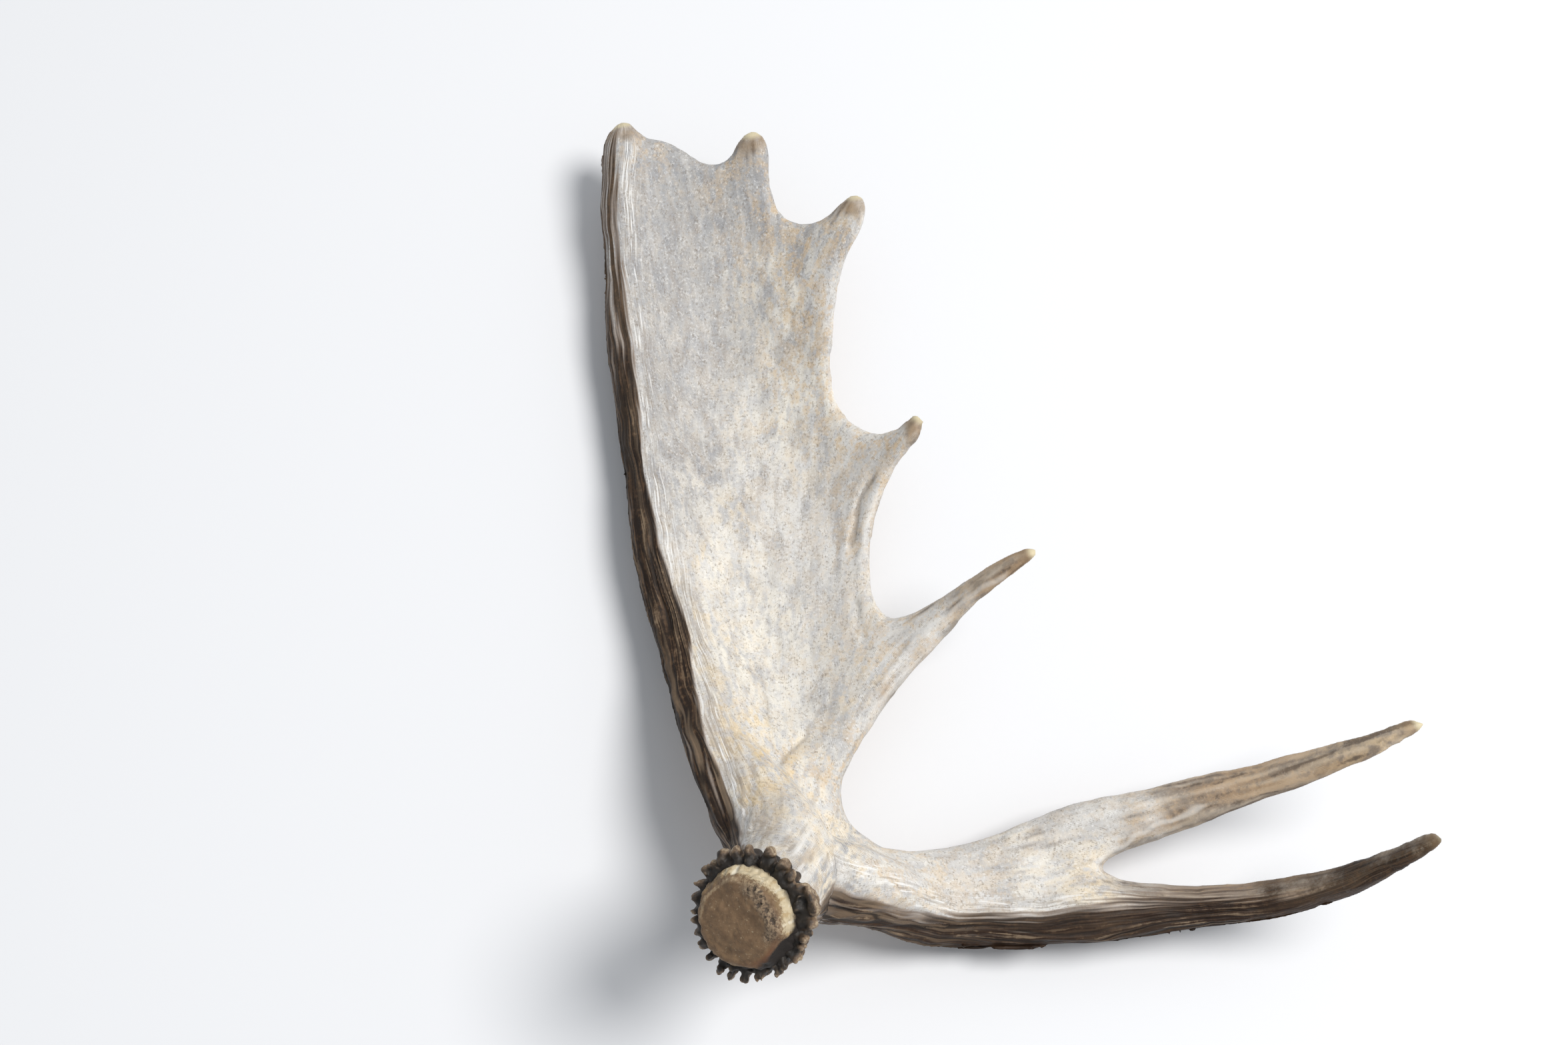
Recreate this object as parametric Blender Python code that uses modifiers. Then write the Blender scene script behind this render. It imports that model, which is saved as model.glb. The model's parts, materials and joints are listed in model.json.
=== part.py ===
"""Left antler of a moose, lying on its convex back with the burr pointing up.

The antler is shaped in an upright frame (X right, Y up along the palm, Z towards
the hollow side) and laid down at the end. Lengths in the tables are millimetres.
"""
import math

import bmesh
import bpy
import numpy as np
from mathutils import Matrix, Vector, noise
from mathutils.geometry import delaunay_2d_cdt

MM = 0.001

# Driving dimensions of the base
BURR_CENTRE = (-19.0, -208.5, 200.0)
BURR_NORMAL = (-0.442, -0.096, 0.891)
BURR_RADIUS = 32.0
SEAL_RADIUS = 22.0
SEAL_HEIGHT = 13.0
SEAL_FLAT = 10.5

# Resting pose: the turn about X, then about Y, that lays the upright antler on its back
REST_ABOUT_X = 22.7
REST_ABOUT_Y = -4.85

# Outline seen square on, clockwise from behind the burr
REAR_EDGE = [(0, -208), (-24, -204), (-37, -186), (-49, -161), (-64, -125), (-75, -87), (-88, -48),
             (-96, -15), (-103, 36), (-110, 80), (-117, 124), (-119, 170), (-123, 216), (-122, 243),
             (-119, 261)]
POINT_1 = [(-110, 271), (-102, 270), (-94, 261), (-78, 257), (-66, 251), (-54, 243)]
POINT_2 = [(-44, 242), (-36, 246), (-30, 256), (-23, 263), (-15, 261), (-10, 250), (-9, 229),
           (-4, 212), (4, 203), (16, 200)]
POINT_3 = [(28, 204), (40, 214), (47, 218), (54, 212), (52, 195), (44, 180), (36, 157), (33, 124),
           (32, 98), (36, 78), (45, 65)]
POINT_4 = [(58, 58), (72, 60), (83, 69), (89, 64), (85, 52), (74, 38), (65, 22), (58, 0), (55, -28),
           (57, -48)]
LONG_POINT = [(67, -59), (86, -52), (108, -37), (131, -22), (150, -14), (156, -18), (132, -37),
              (104, -65), (73, -100), (50, -131), (37, -151)]
MAIN_FORK = [(34, -163), (38, -176), (48, -187), (65, -195)]
UPPER_BROW = [(94, -196), (123, -191), (152, -179), (188, -168), (245, -156), (303, -140),
              (348, -126), (373, -116), (380, -120), (365, -130), (322, -154), (273, -175),
              (233, -191), (204, -201)]
BROW_FORK = [(192, -209)]
LOWER_BROW = [(204, -216), (236, -219), (279, -216), (319, -206), (352, -190), (370, -179),
              (381, -175), (383, -180), (360, -199), (336, -218), (299, -234), (258, -242),
              (210, -249), (170, -253), (134, -256), (99, -254), (65, -245), (35, -228)]
OUTLINE = (REAR_EDGE + POINT_1 + POINT_2 + POINT_3 + POINT_4 + LONG_POINT + MAIN_FORK
           + UPPER_BROW + BROW_FORK + LOWER_BROW)

# Depth of the middle of the antler: (x, y, z)
DEPTH = [
    (-110, 264, -117), (-114, 216, -109), (-109, 170, -99), (-103, 125, -87), (-96, 80, -71),
    (-89, 36, -53), (-81, -7, -32), (-70, -44, -24), (-61, -66, -13), (-55, -92, 10), (-44, -119, 38),
    (-30, -153, 65), (-14, -185, 80),
    (-52, 218, -119), (-50, 160, -115), (-46, 110, -110), (-40, 60, -84), (-33, 15, -60),
    (-20, -49, -32), (-5, -110, 0), (10, -158, 42),
    (-22, 258, -112), (0, 198, -110), (46, 212, -90), (16, 160, -98), (18, 98, -88),
    (45, 40, -62), (82, 63, -36), (46, -15, -42), (52, -65, -12), (92, -60, 6), (124, -35, 22),
    (153, -18, 36), (62, -105, 14), (38, -128, 26), (25, -166, 50),
    (49, -204, 60), (69, -225, 57), (92, -238, 46), (114, -241, 38), (102, -212, 38),
    (140, -241, 41), (160, -240, 42), (156, -205, 27), (188, -181, 26), (233, -173, 26), (311, -147, 40),
    (376, -119, 62), (219, -232, 40), (289, -224, 48), (342, -204, 74), (380, -179, 102)]

# Plate: (x, y, half-thickness, share of it that stands on the hollow side)
PLATE = [
    (-60, 230, 6.5, 0.9), (-60, 150, 6.0, 0.9), (-50, 80, 6.0, 0.9), (-35, 10, 6.5, 0.9),
    (-20, -50, 8.0, 0.9), (5, 190, 6.5, 0.9), (0, 110, 6.0, 0.9), (15, 30, 6.5, 0.9),
    (25, -40, 8.0, 0.9), (0, -110, 12.0, 1.0), (22, -165, 20.0, 1.0),
    (-22, 245, 9.0, 1.0), (44, 205, 9.0, 1.0), (78, 58, 9.0, 1.0), (40, 150, 8.0, 1.0),
    (42, 60, 8.0, 1.0), (95, -55, 14.0, 1.0), (135, -30, 14.0, 1.0), (60, -95, 12.0, 1.0),
    (60, -215, 20.0, 1.0), (100, -212, 12.0, 0.9), (150, -210, 10.0, 0.9), (190, -205, 12.0, 1.0),
    (240, -175, 20.0, 1.0), (340, -135, 20.0, 1.0), (240, -232, 22.0, 1.0), (340, -210, 22.0, 1.0)]

# Round limbs that grow out of the plate: rows of (x, y, half-width)
LIMBS = {
    "rear rib": [(-110, 262, 9), (-113, 216, 13), (-109, 170, 15), (-102, 125, 17), (-94, 80, 18),
                 (-86, 36, 19), (-78, -7, 20), (-68, -48, 21), (-54, -88, 23), (-42, -119, 25),
                 (-28, -153, 28), (-12, -185, 30)],
    "brow rib": [(10, -200, 30), (60, -222, 25), (100, -236, 21), (150, -236, 20), (200, -233, 18),
                 (250, -230, 14), (300, -223, 11), (350, -198, 9), (376, -181, 5)],
}

# Neck from the burr to the fork, and its two branches: rows of (x, y, z, radius)
NECK = [(-19, -208.5, 200, 25), (-12, -206, 180, 25), (-6, -203, 160, 25), (-1, -199, 140, 26.5),
        (1, -193, 120, 28), (-2, -185, 101, 29), (-10, -173, 83, 27), (-20, -158, 68, 23),
        (-32, -138, 52, 17)]
BROW_ROOT = [(-1, -199, 140, 22), (10, -200, 118, 25), (28, -206, 97, 25), (50, -214, 77, 23),
             (76, -225, 60, 18), (100, -232, 48, 12)]

# Teeth of the burr: (degrees round from +X, length, half-width in degrees)
TEETH = [
    (17, 8.7, 13), (-2, 6.5, 7), (-16, 3.0, 5), (-25, 2.5, 4), (-37, 3.5, 6), (-51, 1.0, 5),
    (-62, 3.0, 5), (-81, 2.0, 6), (-98, 5.4, 6), (-111, 7.3, 5), (-122, 8.0, 6), (-136, 7.0, 5),
    (-148, 5.0, 6), (-160, 4.5, 6), (-172, 3.5, 5), (178, 2.5, 5), (166, 3.6, 6), (153, 3.4, 6),
    (138, 5.2, 5), (128, 4.0, 5), (115, 6.0, 7), (101, 5.9, 6), (88, 6.5, 6), (69, 9.0, 6),
    (54, 8.0, 6), (43, 6.0, 6)]

# Grooves where blood vessels ran: rows of points on the hollow side, then the side they are cut in
VESSELS = [
    ([(57, 33), (50, 15), (47, 6), (44, -11), (44, -22)], 1),
    ([(44, -48), (50, -76)], 1),
    ([(-5, 180), (-12, 120), (-8, 60), (4, 5), (8, -50), (0, -100)], -1),
    ([(-12, 120), (-38, 170), (-50, 220)], -1),
    ([(4, 5), (34, 30), (62, 50)], -1),
    ([(0, -100), (40, -110), (85, -70), (125, -38)], -1),
    ([(60, -215), (120, -210), (190, -190), (260, -172)], -1),
    ([(120, -225), (200, -228), (270, -226)], -1)]

# Burr and seal turned about the burr's normal: (radius, height, share of the teeth's length)
BURR_PROFILE = [
    (19, -16, 0), (24, -12, 0), (28.5, -7, 0.25), (BURR_RADIUS, -3, 1.0), (BURR_RADIUS - 1, 1, 0.95),
    (30, 1.5, 0.3), (28.6, -1, 0), (27.2, 3, 0), (25.8, 8, 0), (SEAL_RADIUS + 1.6, 11, 0),
    (SEAL_RADIUS - 1.5, 12.4, 0), (SEAL_FLAT, SEAL_HEIGHT, 0)]
STEPS_PER_TOOTH = 4

# Making of the sheet: point spacing, give of the depth surface, blending core of the plate rows
OUTLINE_STEP = 4.0
SHEET_STEP = 4.5
DEPTH_GIVE = 400.0
PLATE_CORE = 5.0
RIB_SWELL = 30.0

# Growing together: grid, smoothing, and the longer smoothing round the fork above the neck
VOXEL = 2.0
SMOOTH_TURNS = 6
FORK_CENTRE = (10.0, -178.0, 85.0)
FORK_REACH = 95.0
FORK_FADE = 2.5
FORK_TURNS = 45
BODY_TRIANGLES = 6400
BURR_TRIANGLES = 1900
CUT_GAP = 0.3

# Relief of the skin
RIDGE_PITCH = 8.0
RIDGE_LENGTH = 90.0
RIDGE_HEIGHT = 1.6
RIDGE_CREST = 0.5
RIDGE_CUT = 2.2
RIDGE_REACH = 1.3
RIDGE_INNER_SHARE = 0.3
RIDGE_OUTER_SHARE = 1.2
VESSEL_DEPTH = 0.9
VESSEL_WIDTH = 3.2
VESSEL_FACING = 1.5

# Forks: point on the cut, direction across it, half-size of the cut
FORKS = {
    "palm fork": ((-8, -98, 5), (-0.30, 0.93, -0.45), 85),
    "long point fork": ((68, -78, 6), (0.96, 0.26, 0.12), 36),
    "brow fork": ((72, -222, 52), (0.98, -0.15, -0.15), 52),
    "upper brow fork": ((206, -183, 26), (0.97, 0.22, 0.10), 30),
    "lower brow fork": ((214, -234, 33), (0.99, -0.02, 0.05), 30)}

# A point well inside each piece, for naming it once the antler is parted
PIECES = {
    "beam": (5, -190, 115), "palm": (-40, 80, -96), "palm_tine": (110, -50, 16),
    "brow_palm": (140, -236, 40), "upper_brow_tine": (280, -158, 32),
    "lower_brow_tine": (280, -226, 44)}

COLOURS = {
    "beam": (0.46, 0.40, 0.32), "palm": (0.56, 0.53, 0.46), "palm_tine": (0.47, 0.43, 0.37),
    "brow_palm": (0.50, 0.46, 0.38), "upper_brow_tine": (0.42, 0.37, 0.31),
    "lower_brow_tine": (0.33, 0.29, 0.25)}


def clear_objects():
    """Remove every object that the file already holds."""
    for old in list(bpy.data.objects):
        bpy.data.objects.remove(old, do_unlink=True)


def new_collection(name):
    """Make a collection under the scene's own."""
    made = bpy.data.collections.new(name)
    bpy.context.scene.collection.children.link(made)
    return made


def add_object(name, mesh, collection):
    """Wrap a mesh in an object and link it."""
    made = bpy.data.objects.new(name, mesh)
    collection.objects.link(made)
    return made


def evaluated_mesh(source):
    """Give a plain mesh of an object with its modifiers applied."""
    depsgraph = bpy.context.evaluated_depsgraph_get()
    return bpy.data.meshes.new_from_object(source.evaluated_get(depsgraph))


def bake(source):
    """Replace an object's mesh with the result of its modifiers."""
    mesh = evaluated_mesh(source)
    source.modifiers.clear()
    source.data = mesh


def thin_out(source, triangles):
    """Decimate an object to a number of triangles."""
    source.data.calc_loop_triangles()
    thin = source.modifiers.new("Thin out", "DECIMATE")
    thin.ratio = min(1.0, triangles / len(source.data.loop_triangles))
    thin.use_collapse_triangulate = True
    bake(source)


def smooth_loop(points, step):
    """Run a closed Catmull-Rom curve through the points, a point about every step."""
    ring = np.array(points, float)
    count = len(ring)
    out = []
    for i in range(count):
        a, b, c, d = (ring[(i + k) % count] for k in (-1, 0, 1, 2))
        pieces = max(1, int(round(np.linalg.norm(c - b) / step)))
        for t in np.arange(pieces) / pieces:
            out.append(0.5 * (2 * b + (c - a) * t + (2 * a - 5 * b + 4 * c - d) * t ** 2
                              + (3 * b - a - 3 * c + d) * t ** 3))
    return np.array(out)


def inside_loop(points, loop):
    """Tell which points lie inside a closed outline."""
    x, y = points[:, 0], points[:, 1]
    inside = np.zeros(len(points), bool)
    for a, b in zip(loop, np.roll(loop, -1, axis=0)):
        if a[1] == b[1]:
            continue
        crosses = (a[1] > y) != (b[1] > y)
        inside ^= crosses & (x < a[0] + (y - a[1]) * (b[0] - a[0]) / (b[1] - a[1]))
    return inside


def along_path(points, path):
    """Distance to a polyline, and its rows' extra values at the nearest place."""
    best = np.full(len(points), 1e9)
    extra = np.zeros((len(points), path.shape[1] - 2))
    for a, b in zip(path[:-1], path[1:]):
        run = b[:2] - a[:2]
        t = np.clip((points - a[:2]) @ run / (run @ run), 0, 1)
        away = np.linalg.norm(points - a[:2] - t[:, None] * run, axis=1)
        near = away < best
        best[near] = away[near]
        extra[near] = (a[2:] + t[:, None] * (b[2:] - a[2:]))[near]
    return best, extra


def bend_sheet(points, rows):
    """Thin-plate surface through rows of (x, y, z), read at the points."""
    rows = np.array(rows, float)
    knots, count = rows[:, :2], len(rows)

    def kernel(a, b):
        square = ((a[:, None] - b[None]) ** 2).sum(axis=2)
        return 0.5 * square * np.log(np.maximum(square, 1e-9))

    system = np.zeros((count + 3, count + 3))
    system[:count, :count] = kernel(knots, knots) + DEPTH_GIVE * np.eye(count)
    system[:count, count:] = np.c_[np.ones(count), knots]
    system[count:, :count] = system[:count, count:].T
    weights = np.linalg.solve(system, np.r_[rows[:, 2], 0, 0, 0])
    plane = np.c_[np.ones(len(points)), points] @ weights[count:]
    return kernel(points, knots) @ weights[:count] + plane


def blend_rows(points, rows):
    """Mix the rows' values by nearness."""
    rows = np.array(rows, float)
    square = ((points[:, None] - rows[None, :, :2]) ** 2).sum(axis=2) + PLATE_CORE ** 2
    weight = square ** -1.5
    return (weight @ rows[:, 2:]) / weight.sum(axis=1)[:, None]


def triangulate(loop):
    """Fill the outline with a regular field of points and join them to triangles."""
    low, high = loop.min(axis=0), loop.max(axis=0)
    row_step = SHEET_STEP * math.sqrt(0.75)
    field = []
    for j, y in enumerate(np.arange(low[1], high[1], row_step)):
        start = low[0] + (j % 2) * SHEET_STEP / 2
        field += [(x, y) for x in np.arange(start, high[0], SHEET_STEP)]
    field = np.array(field)
    edge = np.vstack([loop, loop[:1]])
    away, _ = along_path(field, np.c_[edge, np.zeros(len(edge))])
    field = field[inside_loop(field, loop) & (away > 0.5 * SHEET_STEP)]
    points = np.vstack([loop, field])
    count = len(loop)
    sides = [(i, (i + 1) % count) for i in range(count)]
    flat, _, faces, *_ = delaunay_2d_cdt([Vector(p) for p in points], sides, [], 1, 1e-4)
    return np.array([tuple(p) for p in flat]), np.array(faces), count


def swell(points, faces, rim, limit):
    """Half-thickness that is round in narrow places and levels off at a limit.

    Solves a screened Poisson equation on the triangles, zero on the rim.
    """
    count = len(points)
    a, b, c = (points[faces[:, k]] for k in range(3))
    area = 0.5 * np.abs((b - a)[:, 0] * (c - a)[:, 1] - (b - a)[:, 1] * (c - a)[:, 0])
    mass = np.zeros(count)
    for k in range(3):
        mass += np.bincount(faces[:, k], area / 3, count)
    starts, ends, weights = [], [], []
    for k in range(3):
        i, j, o = faces[:, k], faces[:, (k + 1) % 3], faces[:, (k + 2) % 3]
        u, v = points[i] - points[o], points[j] - points[o]
        weights.append(0.5 * (u * v).sum(axis=1) / (2 * area))
        starts.append(i)
        ends.append(j)
    starts, ends, weights = (np.concatenate(part) for part in (starts, ends, weights))
    free = np.ones(count)
    free[:rim] = 0
    screen = 2 * mass / limit ** 2

    def apply(field):
        flow = weights * (field[starts] - field[ends])
        out = np.bincount(starts, flow, count) - np.bincount(ends, flow, count) + screen * field
        return out * free

    solution = np.zeros(count)
    residue = 2 * mass * free
    direction = residue.copy()
    size = residue @ residue
    target = 1e-8 * size
    while size > target:
        moved = apply(direction)
        step = size / (direction @ moved)
        solution += step * direction
        residue = residue - step * moved
        fresh = residue @ residue
        direction = residue + fresh / size * direction
        size = fresh
    return np.sqrt(np.maximum(solution, 0))


def build_sheet(collection):
    """Palm and brow as one swollen sheet with round edges, ribs and tines."""
    loop = smooth_loop(OUTLINE, OUTLINE_STEP)
    flat, faces, rim = triangulate(loop)
    plate = blend_rows(flat, PLATE)
    limit = plate[:, 0]
    for rows in LIMBS.values():
        away, width = along_path(flat, np.array(rows, float))
        limit = limit + RIB_SWELL * np.exp(-(away / width[:, 0]) ** 4)
    half = swell(flat, faces, rim, limit)
    middle = bend_sheet(flat, DEPTH)
    front = np.c_[flat, middle + plate[:, 1] * half]
    back = np.c_[flat, middle - (2 - plate[:, 1]) * half]
    partner = np.r_[np.arange(rim), np.arange(rim, len(flat)) + len(flat) - rim]
    points = np.vstack([front, back[rim:]]) * MM
    if np.cross(flat[faces[0, 1]] - flat[faces[0, 0]], flat[faces[0, 2]] - flat[faces[0, 0]]) < 0:
        faces = faces[:, ::-1]
    mesh = bpy.data.meshes.new("sheet")
    mesh.from_pydata(points.tolist(), [], faces.tolist() + partner[faces[:, ::-1]].tolist())
    return add_object("sheet", mesh, collection)


def tube(name, rows, collection):
    """Round limb along rows of (x, y, z, radius), as a closed mesh."""
    curve = bpy.data.curves.new(name, "CURVE")
    curve.dimensions = "3D"
    curve.bevel_depth = MM
    curve.bevel_resolution = 6
    curve.use_fill_caps = True
    line = curve.splines.new("NURBS")
    line.points.add(len(rows) - 1)
    line.order_u = 4
    line.use_endpoint_u = True
    line.resolution_u = 6
    for point, (x, y, z, radius) in zip(line.points, rows):
        point.co = (x * MM, y * MM, z * MM, 1)
        point.radius = radius
    guide = add_object(name, curve, collection)
    mesh = evaluated_mesh(guide)
    shell = bmesh.new()
    shell.from_mesh(mesh)
    bmesh.ops.remove_doubles(shell, verts=shell.verts, dist=0.00005)
    shell.to_mesh(mesh)
    shell.free()
    bpy.data.objects.remove(guide, do_unlink=True)
    return add_object(name, mesh, collection)


def join_meshes(name, parts, collection):
    """Put several objects' faces in one new object and drop the old ones."""
    joined = bmesh.new()
    for part in parts:
        joined.from_mesh(part.data)
        bpy.data.objects.remove(part, do_unlink=True)
    mesh = bpy.data.meshes.new(name)
    joined.to_mesh(mesh)
    joined.free()
    return add_object(name, mesh, collection)


def read_points(mesh):
    """Vertex positions and normals in millimetres."""
    count = len(mesh.vertices)
    points = np.empty(3 * count)
    normals = np.empty(3 * count)
    mesh.vertices.foreach_get("co", points)
    mesh.vertices.foreach_get("normal", normals)
    return points.reshape(-1, 3) / MM, normals.reshape(-1, 3)


def limb_ridges(points, normals):
    """Long ridges and furrows on the outer side of the two ribs."""
    above = points[:, 2] - bend_sheet(points[:, :2], DEPTH)
    height = np.zeros(len(points))
    for rows in LIMBS.values():
        path = np.array(rows, float)
        run = path[-1, :2] - path[0, :2]
        run /= np.linalg.norm(run)
        outward = normals[:, :2] @ np.array([run[1], -run[0]])
        away, width = along_path(points[:, :2], path)
        facing = np.clip(RIDGE_INNER_SHARE + RIDGE_OUTER_SHARE * outward, 0, 1)
        share = np.exp(-(away / (RIDGE_REACH * width[:, 0])) ** 4) * facing
        along = points[:, :2] @ run
        for i in np.nonzero(share > 0.05)[0]:
            place = Vector((above[i] / RIDGE_PITCH, along[i] / RIDGE_LENGTH, 0.0))
            height[i] = RIDGE_HEIGHT * share[i] * (RIDGE_CREST - RIDGE_CUT * abs(noise.noise(place)))
    return height


def vessel_grooves(points, normals):
    """Shallow channels that the vessels left in the bone."""
    depth = np.zeros(len(points))
    for rows, facing in VESSELS:
        path = np.c_[np.array(rows, float), np.zeros(len(rows))]
        away, _ = along_path(points[:, :2], path)
        facing_share = np.clip(VESSEL_FACING * facing * normals[:, 2], 0, 1)
        depth -= VESSEL_DEPTH * np.exp(-(away / VESSEL_WIDTH) ** 2) * facing_share
    return depth


def carve(body):
    """Move the skin in and out by the ridges and grooves."""
    points, normals = read_points(body.data)
    height = limb_ridges(points, normals) + vessel_grooves(points, normals)
    points = (points + height[:, None] * normals) * MM
    body.data.vertices.foreach_set("co", points.ravel())
    body.data.update()


def build_body(collection):
    """Sheet and neck grown into one skin, smoothed, carved and thinned out."""
    parts = [build_sheet(collection), tube("neck", NECK, collection),
             tube("brow root", BROW_ROOT, collection)]
    body = join_meshes("body", parts, collection)
    remesh = body.modifiers.new("Grow together", "REMESH")
    remesh.mode = "VOXEL"
    remesh.voxel_size = VOXEL * MM
    bake(body)
    fork = body.vertex_groups.new(name="fork")
    points, _ = read_points(body.data)
    away = np.linalg.norm(points - np.array(FORK_CENTRE), axis=1)
    for index in np.nonzero(away < FORK_REACH)[0]:
        share = min(1.0, FORK_FADE * (1 - away[index] / FORK_REACH))
        fork.add([int(index)], float(share), "REPLACE")
    blend = body.modifiers.new("Blend the fork", "SMOOTH")
    blend.vertex_group = "fork"
    blend.factor = 0.8
    blend.iterations = FORK_TURNS
    smooth = body.modifiers.new("Smooth", "SMOOTH")
    smooth.factor = 0.5
    smooth.iterations = SMOOTH_TURNS
    bake(body)
    body.vertex_groups.clear()
    carve(body)
    thin_out(body, BODY_TRIANGLES)
    return body


def tooth_length(degrees):
    """How far the burr's teeth stand out at an angle."""
    reach = 0.0
    for angle, length, spread in TEETH:
        apart = abs((degrees - angle + 180) % 360 - 180) / spread
        reach = max(reach, length * max(0.0, 1.0 - apart ** 2) ** 0.7)
    return reach


def burr_matrix():
    """Place with its Z along the burr's outward normal and its X to the right."""
    normal = Vector(BURR_NORMAL).normalized()
    across = Vector((0, 1, 0)).cross(normal).normalized()
    up = normal.cross(across)
    turn = Matrix((across, up, normal)).transposed().to_4x4()
    return Matrix.Translation(Vector(BURR_CENTRE) * MM) @ turn


def build_burr(collection):
    """Toothed ring with the domed seal of the pedicle, closed at the back."""
    sides = STEPS_PER_TOOTH * len(TEETH)
    shell = bmesh.new()
    rings = []
    for radius, height, share in BURR_PROFILE:
        ring = []
        for k in range(sides):
            degrees = 360.0 * k / sides
            reach = radius + share * tooth_length(degrees)
            angle = math.radians(degrees)
            ring.append(shell.verts.new((reach * math.cos(angle) * MM,
                                         reach * math.sin(angle) * MM, height * MM)))
        rings.append(ring)
    for lower, upper in zip(rings[:-1], rings[1:]):
        for k in range(sides):
            after = (k + 1) % sides
            shell.faces.new((lower[k], lower[after], upper[after], upper[k]))
    shell.faces.new(rings[-1])
    shell.faces.new(list(reversed(rings[0])))
    shell.transform(burr_matrix())
    mesh = bpy.data.meshes.new("burr")
    shell.to_mesh(mesh)
    shell.free()
    burr = add_object("burr", mesh, collection)
    thin_out(burr, BURR_TRIANGLES)
    return burr


def boolean(target, cutter, operation):
    """Apply one exact boolean between two closed meshes."""
    modifier = target.modifiers.new(operation.title(), "BOOLEAN")
    modifier.operation = operation
    modifier.solver = "EXACT"
    modifier.object = cutter
    bake(target)


def fork_slab(name, centre, across, half, collection):
    """Thin square slab that parts the antler at a fork."""
    slab = bmesh.new()
    bmesh.ops.create_cube(slab, size=1.0)
    size = Matrix.Diagonal((2 * half * MM, 2 * half * MM, CUT_GAP * MM, 1))
    turn = Vector((0, 0, 1)).rotation_difference(Vector(across)).to_matrix().to_4x4()
    slab.transform(Matrix.Translation(Vector(centre) * MM) @ turn @ size)
    mesh = bpy.data.meshes.new(name)
    slab.to_mesh(mesh)
    slab.free()
    cutter = add_object(name, mesh, collection)
    cutter.hide_render = True
    cutter.display_type = "WIRE"
    return cutter


def loose_parts(mesh):
    """Split a mesh into one bmesh for each connected piece."""
    whole = bmesh.new()
    whole.from_mesh(mesh)
    whole.verts.ensure_lookup_table()
    group = {}
    for seed in whole.verts:
        if seed in group:
            continue
        mark = len(set(group.values()))
        stack = [seed]
        group[seed] = mark
        while stack:
            for edge in stack.pop().link_edges:
                for vert in edge.verts:
                    if vert not in group:
                        group[vert] = mark
                        stack.append(vert)
    pieces = []
    for mark in sorted(set(group.values())):
        piece = whole.copy()
        piece.verts.ensure_lookup_table()
        drop = [piece.verts[v.index] for v in whole.verts if group[v] != mark]
        bmesh.ops.delete(piece, geom=drop, context="VERTS")
        pieces.append(piece)
    whole.free()
    return pieces


def bone_material(name):
    """Dry antler in the colour of one piece."""
    material = bpy.data.materials.new(name)
    material.use_nodes = True
    shader = material.node_tree.nodes["Principled BSDF"]
    shader.inputs["Base Color"].default_value = (*COLOURS[name], 1)
    shader.inputs["Roughness"].default_value = 0.62
    shader.inputs["Metallic"].default_value = 0.0
    return material


def rest_matrix(mesh):
    """Lay the upright antler down and put the middle of its underside at the origin."""
    turn = (Matrix.Rotation(math.radians(REST_ABOUT_Y), 4, "Y")
            @ Matrix.Rotation(math.radians(REST_ABOUT_X), 4, "X"))
    points = np.array([tuple(turn @ v.co) for v in mesh.vertices])
    low, high = points.min(axis=0), points.max(axis=0)
    return Matrix.Translation((-(low[0] + high[0]) / 2, -(low[1] + high[1]) / 2, -low[2])) @ turn


def name_pieces(pieces, laid, collection):
    """Turn each loose piece into the named object whose inner point is nearest to it."""
    left = dict(PIECES)
    for piece in sorted(pieces, key=lambda p: -len(p.verts)):
        middle = sum((v.co for v in piece.verts), Vector()) / len(piece.verts)
        name = min(left, key=lambda n: (Vector(left[n]) * MM - middle).length)
        left.pop(name)
        piece.transform(laid)
        mesh = bpy.data.meshes.new(name)
        piece.to_mesh(mesh)
        piece.free()
        made = add_object(name, mesh, collection)
        made.data.materials.append(bone_material(name))
        mesh.shade_smooth()
        mesh.set_sharp_from_angle(angle=math.radians(35))


def main():
    clear_objects()
    antler = new_collection("moose_antler")
    cutters = new_collection("cutters")
    body = build_body(antler)
    burr = build_burr(antler)
    boolean(body, burr, "UNION")
    bpy.data.objects.remove(burr, do_unlink=True)
    laid = rest_matrix(body.data)
    for name, (centre, across, half) in FORKS.items():
        boolean(body, fork_slab(name, centre, across, half, cutters), "DIFFERENCE")
    for cutter in cutters.objects:
        cutter.data.transform(laid)
    pieces = loose_parts(body.data)
    bpy.data.objects.remove(body, do_unlink=True)
    name_pieces(pieces, laid, antler)


main()
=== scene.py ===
"""Looks of a moose antler that lies on its back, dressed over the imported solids.

All shaping happens in an upright frame: X right, Y up along the palm, Z towards the
hollow side, lengths in millimetres.  LAY puts the result back where the solids lie.
"""
import json
import math

import bmesh
import bpy
import numpy as np
from mathutils import Matrix, Vector
from mathutils.bvhtree import BVHTree


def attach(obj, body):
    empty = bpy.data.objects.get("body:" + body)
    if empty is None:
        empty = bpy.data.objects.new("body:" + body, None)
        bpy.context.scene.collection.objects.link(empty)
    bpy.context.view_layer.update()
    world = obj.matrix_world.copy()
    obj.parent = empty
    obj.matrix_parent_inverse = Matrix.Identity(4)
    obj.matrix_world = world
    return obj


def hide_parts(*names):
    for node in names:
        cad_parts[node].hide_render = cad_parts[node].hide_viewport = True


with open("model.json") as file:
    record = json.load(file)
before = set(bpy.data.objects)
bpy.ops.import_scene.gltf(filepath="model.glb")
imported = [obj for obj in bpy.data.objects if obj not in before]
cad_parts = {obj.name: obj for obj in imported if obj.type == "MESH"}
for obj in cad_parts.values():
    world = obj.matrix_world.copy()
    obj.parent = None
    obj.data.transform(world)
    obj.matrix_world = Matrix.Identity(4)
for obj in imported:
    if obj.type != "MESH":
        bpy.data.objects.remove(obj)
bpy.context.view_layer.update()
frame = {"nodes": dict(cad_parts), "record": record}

MM = 0.001
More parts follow.
